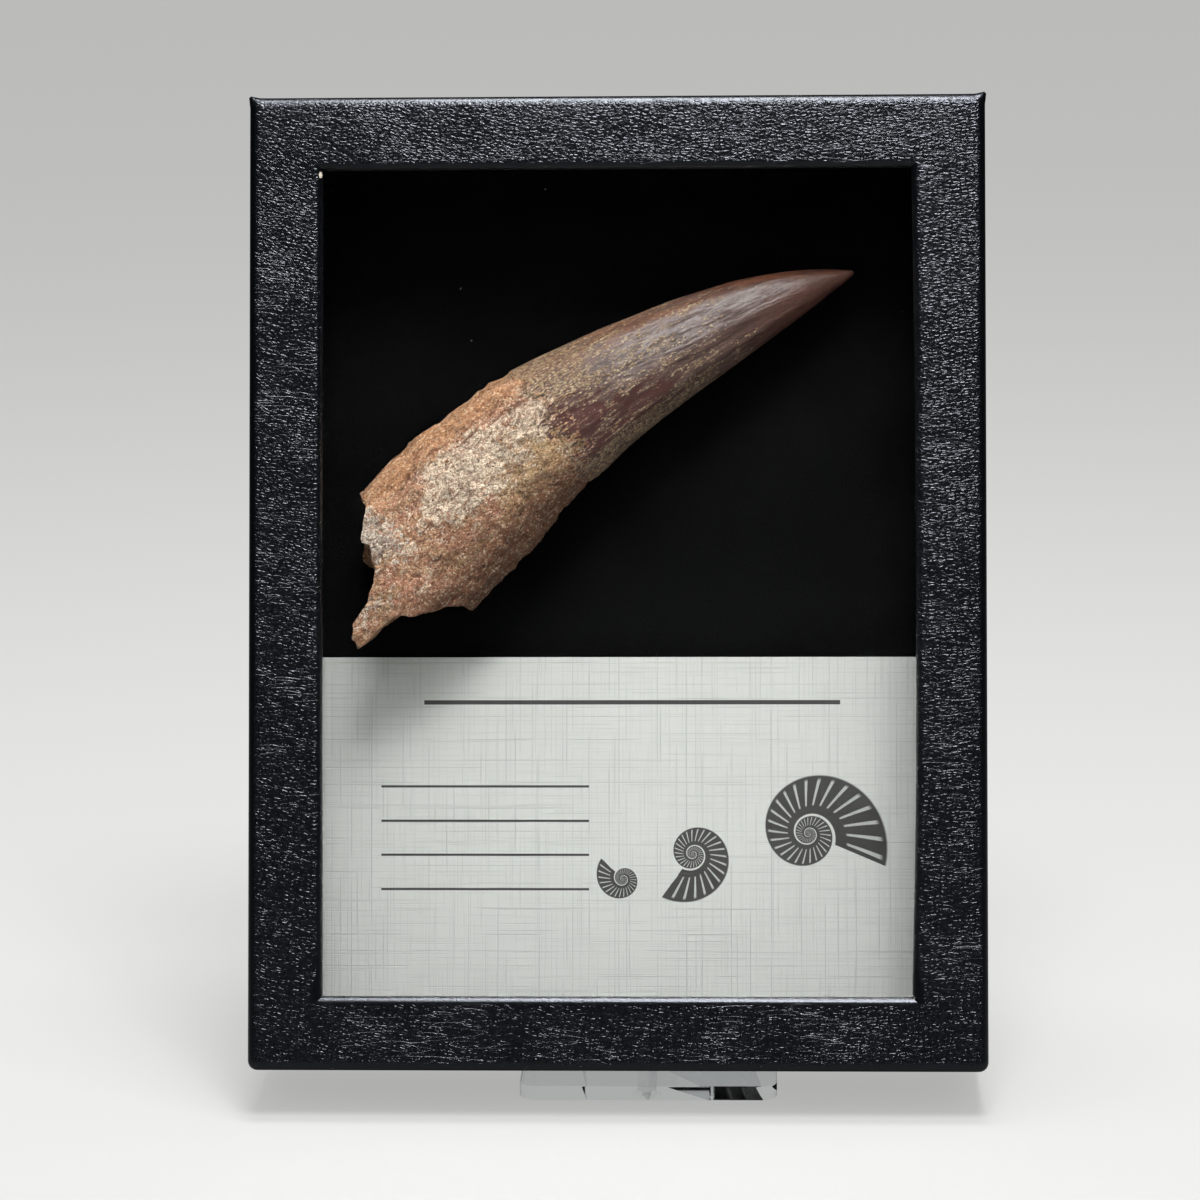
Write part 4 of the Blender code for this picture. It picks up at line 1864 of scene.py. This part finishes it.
    def break_cutter(self) -> bpy.types.Object:
        """Model what has broken off the root: a ragged block whose edge follows the break.

        Returns:
            The block.
        """
        corners = np.array(self.break_line)
        steps = np.concatenate([[0.0], np.cumsum(np.linalg.norm(np.diff(corners, axis=0), axis=1))])
        walked = np.linspace(0.0, steps[-1], int(steps[-1] / self.break_step))
        kept = np.stack([np.interp(walked, steps, corners[:, k]) for k in (0, 1)], 1)
        free = np.concatenate([[0.0], np.ones(len(kept) - 2), [0.0]])
        rings = []
        for share in (layer / (self.break_layers - 1) for layer in range(self.break_layers)):
            y = -self.case.depth / MM * (1 - share)
            away = self.break_away(kept, y, share)
            moved = kept + self.break_pull * (away * free)[:, None]
            outline = np.concatenate([moved, np.array(self.break_outside)])
            rings.append(np.stack([outline[:, 0], np.full(len(outline), y), outline[:, 1]], 1))
        return self.cutter("broken_away", rings)

    def break_away(self, kept: np.ndarray, y: float, share: float) -> np.ndarray:
        """Roughen one layer of the break.

        Args:
            kept: The line of the break, x and z.
            y: Where the layer lies, from the back of the case.
            share: The same as a share, from 0 at the front to 1 at the back.

        Returns:
            How far each point of the line moves away.
        """
        turned = np.full(len(kept), share * self.break_turns / self.break_scale)
        sheet = np.stack([kept[:, 0], kept[:, 1], turned], 1)
        solid = np.stack([kept[:, 0], np.full(len(kept), y), kept[:, 1]], 1)
        away = noise_at(sheet, self.break_scale) * self.break_ragged
        away += layered(0.0, solid, self.break_grit)
        spur = share_near(kept, self.spur, self.spur_reach)
        apart = np.sum((kept - np.array(self.notch)) ** 2, axis=1)
        notch = np.exp(-apart / self.notch_reach ** 2)
        behind = float(smooth(np.array(share), 0.3, 0.75))
        early = 1 - float(smooth(np.array(share), 0.42, 0.52))
        slant = self.break_slant * behind * (self.slant_everywhere + self.slant_at_spur * spur)
        return away + (slant * (1 - notch) + self.notch_depth * notch * early)

    def pulp_cutter(self) -> bpy.types.Object:
        """Model the hollow of the root: an oval cone that narrows towards the crown.

        Returns:
            The cone.
        """
        rings = []
        angle = np.linspace(0, TURN, 96, endpoint=False)
        for share in np.linspace(0, 1, 48):
            distance = np.array([self.pulp_start - self.pulp_depth * share
                                 + self.pulp_overshoot * (1 - share)])
            centre_x, centre_z, _, _ = self.station(distance)
            along_x, along_z = self.heading(distance)
            size = sqrt(max(1 - share * 0.97, 0.0))
            circle = np.stack([np.full(len(angle), share * 3), np.cos(angle), np.sin(angle)], 1)
            wobble = layered(1.0, circle, self.pulp_wobble)
            out = self.pulp_mouth[0] * size * wobble * np.cos(angle)
            y = self.pulp_mouth[1] * size * wobble * np.sin(angle) - self.middle_depth
            rings.append(np.stack([centre_x + along_z * out, y, centre_z - along_x * out], 1))
        return self.cutter("pulp_hollow", rings)

    def mark(self, tooth: bpy.types.Object) -> None:
        """Give each vertex its place along, across and through the tooth for the finish.

        The attribute straight holds that place in millimetres. girth holds the same as shares of
        the half width and half thickness, and how far inside the broken root the point lies. root
        is 1 on the root.

        Args:
            tooth: The tooth, upright in the case frame.
        """
        points = (points_of(tooth) - np.array((0.0, 0.0, self.case.height / 2))) / MM
        samples = np.linspace(0.0, self.length, self.axis_samples)
        centre_x, centre_z, half_width, half_thickness = self.station(samples)
        nearest = np.concatenate([
            np.argmin((block[:, :1] - centre_x) ** 2 + (block[:, 2:] - centre_z) ** 2, axis=1)
            for block in np.array_split(points, 60)])
        distance = samples[nearest]
        along_x, along_z = self.heading(distance)
        off_x = points[:, 0] - centre_x[nearest]
        off_z = points[:, 2] - centre_z[nearest]
        distance = distance + off_x * along_x + off_z * along_z
        across = off_x * along_z - off_z * along_x
        depth = points[:, 1] + self.axis_depth(distance)
        shares = np.stack([across / np.maximum(half_width[nearest], 0.5),
                           depth / np.maximum(half_thickness[nearest], 0.5)], 1)
        reach = np.maximum(np.linalg.norm(shares, axis=1), 1e-6)
        below = np.linalg.norm(np.stack([across, depth], 1), axis=1) * (1 / reach - 1)
        inside = smooth(below, 1.7, 2.6) * smooth(distance, 80.0, 90.0)
        unmoved = np.stack([points[:, 0], depth, points[:, 2]], 1)
        values = {
            "straight": ("FLOAT_VECTOR", np.stack([distance, across, depth], 1)),
            "girth": ("FLOAT_VECTOR", np.stack([shares[:, 0], shares[:, 1], inside], 1)),
            "root": ("FLOAT", self.root_share(distance, unmoved, self.mingled)),
        }
        for name, (kind, rows) in values.items():
            field = tooth.data.attributes.new(name, kind, 'POINT')
            key = "vector" if kind == "FLOAT_VECTOR" else "value"
            field.data.foreach_set(key, rows.astype(np.float32).ravel())

    def build(self) -> bpy.types.Object:
        """Model the tooth, break its root and hollow it.

        Returns:
            The tooth.
        """
        tooth = self.whole()
        for cutter in (self.break_cutter(), self.pulp_cutter()):
            finish_modifier(tooth, 'BOOLEAN', operation='DIFFERENCE', solver='MANIFOLD', object=cutter)
            bpy.data.objects.remove(cutter)
        self.mark(tooth)
        shade(tooth, radians(60), flats=False)
        self.case.settle(tooth)
        return tooth


@dataclass(frozen=True)
class SoftBox:
    """One rectangular lamp: where it stands, what it points at, its size and its power in watts."""

    name: str
    place: Point
    aim: Point
    size: tuple[float, float]
    power: float

    def build(self) -> bpy.types.Object:
        """Set up the lamp.

        Returns:
            The lamp.
        """
        data = bpy.data.lights.new(self.name, 'AREA')
        data.shape = 'RECTANGLE'
        data.size, data.size_y = self.size
        data.energy = self.power
        lamp = bpy.data.objects.new(self.name, data)
        lamp.location = self.place
        lamp.rotation_euler = (Vector(self.aim) - Vector(self.place)).to_track_quat('-Z', 'Y').to_euler()
        bpy.context.collection.objects.link(lamp)
        return lamp


@dataclass
class Studio:
    """Pale floor, soft overhead light and the camera."""

    case: CaseFrame
    floor_radius: float = 7.0
    lens: float = 112.28
    camera_from_face: Point = (24.98 * MM, -799.09 * MM, -29.46 * MM)
    view: Point = (-0.0356, 0.9989, 0.0315)
    up: Point = (0.0016, -0.0314, 0.9995)
    mirrored: Point = (0.0, -0.96, 0.28)
    mirrored_cone: tuple[float, float] = (0.70, 0.92)
    room: float = 0.35
    backdrop: float = 0.62
    key: SoftBox = SoftBox("key", (0.07, -0.38, 0.93), (0.0, -0.02, 0.13), (0.3, 0.26), 8.0)
    overhead: SoftBox = SoftBox("overhead", (0.03, 0.03, 1.0), (0.0, -0.02, 0.13), (0.42, 0.2), 6.0)
    fill: SoftBox = SoftBox("fill", (0.2, -1.6, 1.5), (0.0, 0.0, 0.1), (2.4, 1.6), 19.0)

    def floor(self) -> None:
        """Lay a wide pale disc that everything stands on."""
        deselect_all()
        bpy.ops.mesh.primitive_circle_add(vertices=96, radius=self.floor_radius, fill_type='NGON')
        disc = named(bpy.context.object, "studio_floor")
        disc.data.materials.append(Sweep().make())

    def camera(self) -> None:
        """Stand a camera where the photograph was taken from."""
        data = bpy.data.cameras.new("camera")
        data.lens = self.lens
        data.clip_start = 0.01
        camera = bpy.data.objects.new("camera", data)
        bpy.context.collection.objects.link(camera)
        face = Vector((0, -self.case.depth, self.case.height / 2))
        back = -Vector(self.view).normalized()
        right = Vector(self.up).cross(back).normalized()
        turned = Matrix((right, back.cross(right), back)).transposed().to_4x4()
        turned.translation = face + Vector(self.camera_from_face)
        camera.matrix_world = self.case.matrix @ turned
        bpy.context.scene.camera = camera

    def world(self) -> None:
        """An even pale room, dark only where the pane would mirror it to the camera."""
        world = bpy.data.worlds.new("studio")
        bpy.context.scene.world = world
        world.use_nodes = True
        tree = world.node_tree
        toward = tree.nodes.new("ShaderNodeVectorMath")
        toward.operation = 'DOT_PRODUCT'
        tree.links.new(tree.nodes.new("ShaderNodeTexCoord").outputs["Generated"], toward.inputs[0])
        toward.inputs[1].default_value = self.mirrored
        level = tree.nodes.new("ShaderNodeMapRange")
        level.interpolation_type = 'SMOOTHSTEP'
        numbers = (*self.mirrored_cone, self.room, 0.0)
        for name, number in zip(("From Min", "From Max", "To Min", "To Max"), numbers):
            level.inputs[name].default_value = number
        tree.links.new(toward.outputs["Value"], level.inputs["Value"])
        seen = tree.nodes.new("ShaderNodeMix")
        seen.data_type = 'FLOAT'
        tree.links.new(tree.nodes.new("ShaderNodeLightPath").outputs["Is Camera Ray"], seen.inputs[0])
        tree.links.new(level.outputs[0], seen.inputs[2])
        seen.inputs[3].default_value = self.backdrop
        background = tree.nodes["Background"]
        tree.links.new(seen.outputs[0], background.inputs["Strength"])
        background.inputs["Color"].default_value = (1.0, 1.0, 1.0, 1.0)
        world.cycles_visibility.glossy = False

    def build(self) -> None:
        """Set up the whole studio."""
        bpy.context.scene.view_settings.view_transform = 'Standard'
        self.floor()
        self.camera()
        self.world()
        self.key.build()
        self.overhead.build()
        fill = self.fill.build()
        fill.visible_glossy = False
        fill.visible_transmission = False


def main() -> None:
    """Build every piece in order and report it."""
    logging.basicConfig(level=logging.INFO, format="%(name)s: %(message)s")
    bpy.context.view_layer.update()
    case = CaseFrame()

    dress(Lid(case).build(), Leatherette(case).make(), "lid")
    dress(Tray(case).build(), CoveredBoard(case).make(), "base_tray")
    glass = ClearSheet("clear glass", tone(250, 253, 251), 1.45, 0.0, 0.92)
    dress(Pane(case).build(), glass.make(), "glass_pane")
    pad = Backing(case).build()
    dress(pad, Velvet(case).make(), "backing_pad")
    dress(LabelCard(case).build(), LinenCard(case).make(), "label_card")
    dress(Tooth(case).build(), Fossil().make(), "tooth")
    acrylic = ClearSheet("clear acrylic", tone(246, 251, 252), 1.49, 0.05, 0.85)
    dress(Easel(case).build(), acrylic.make(), "easel")
    Studio(case).build()


if __name__ == "__main__":
    main()
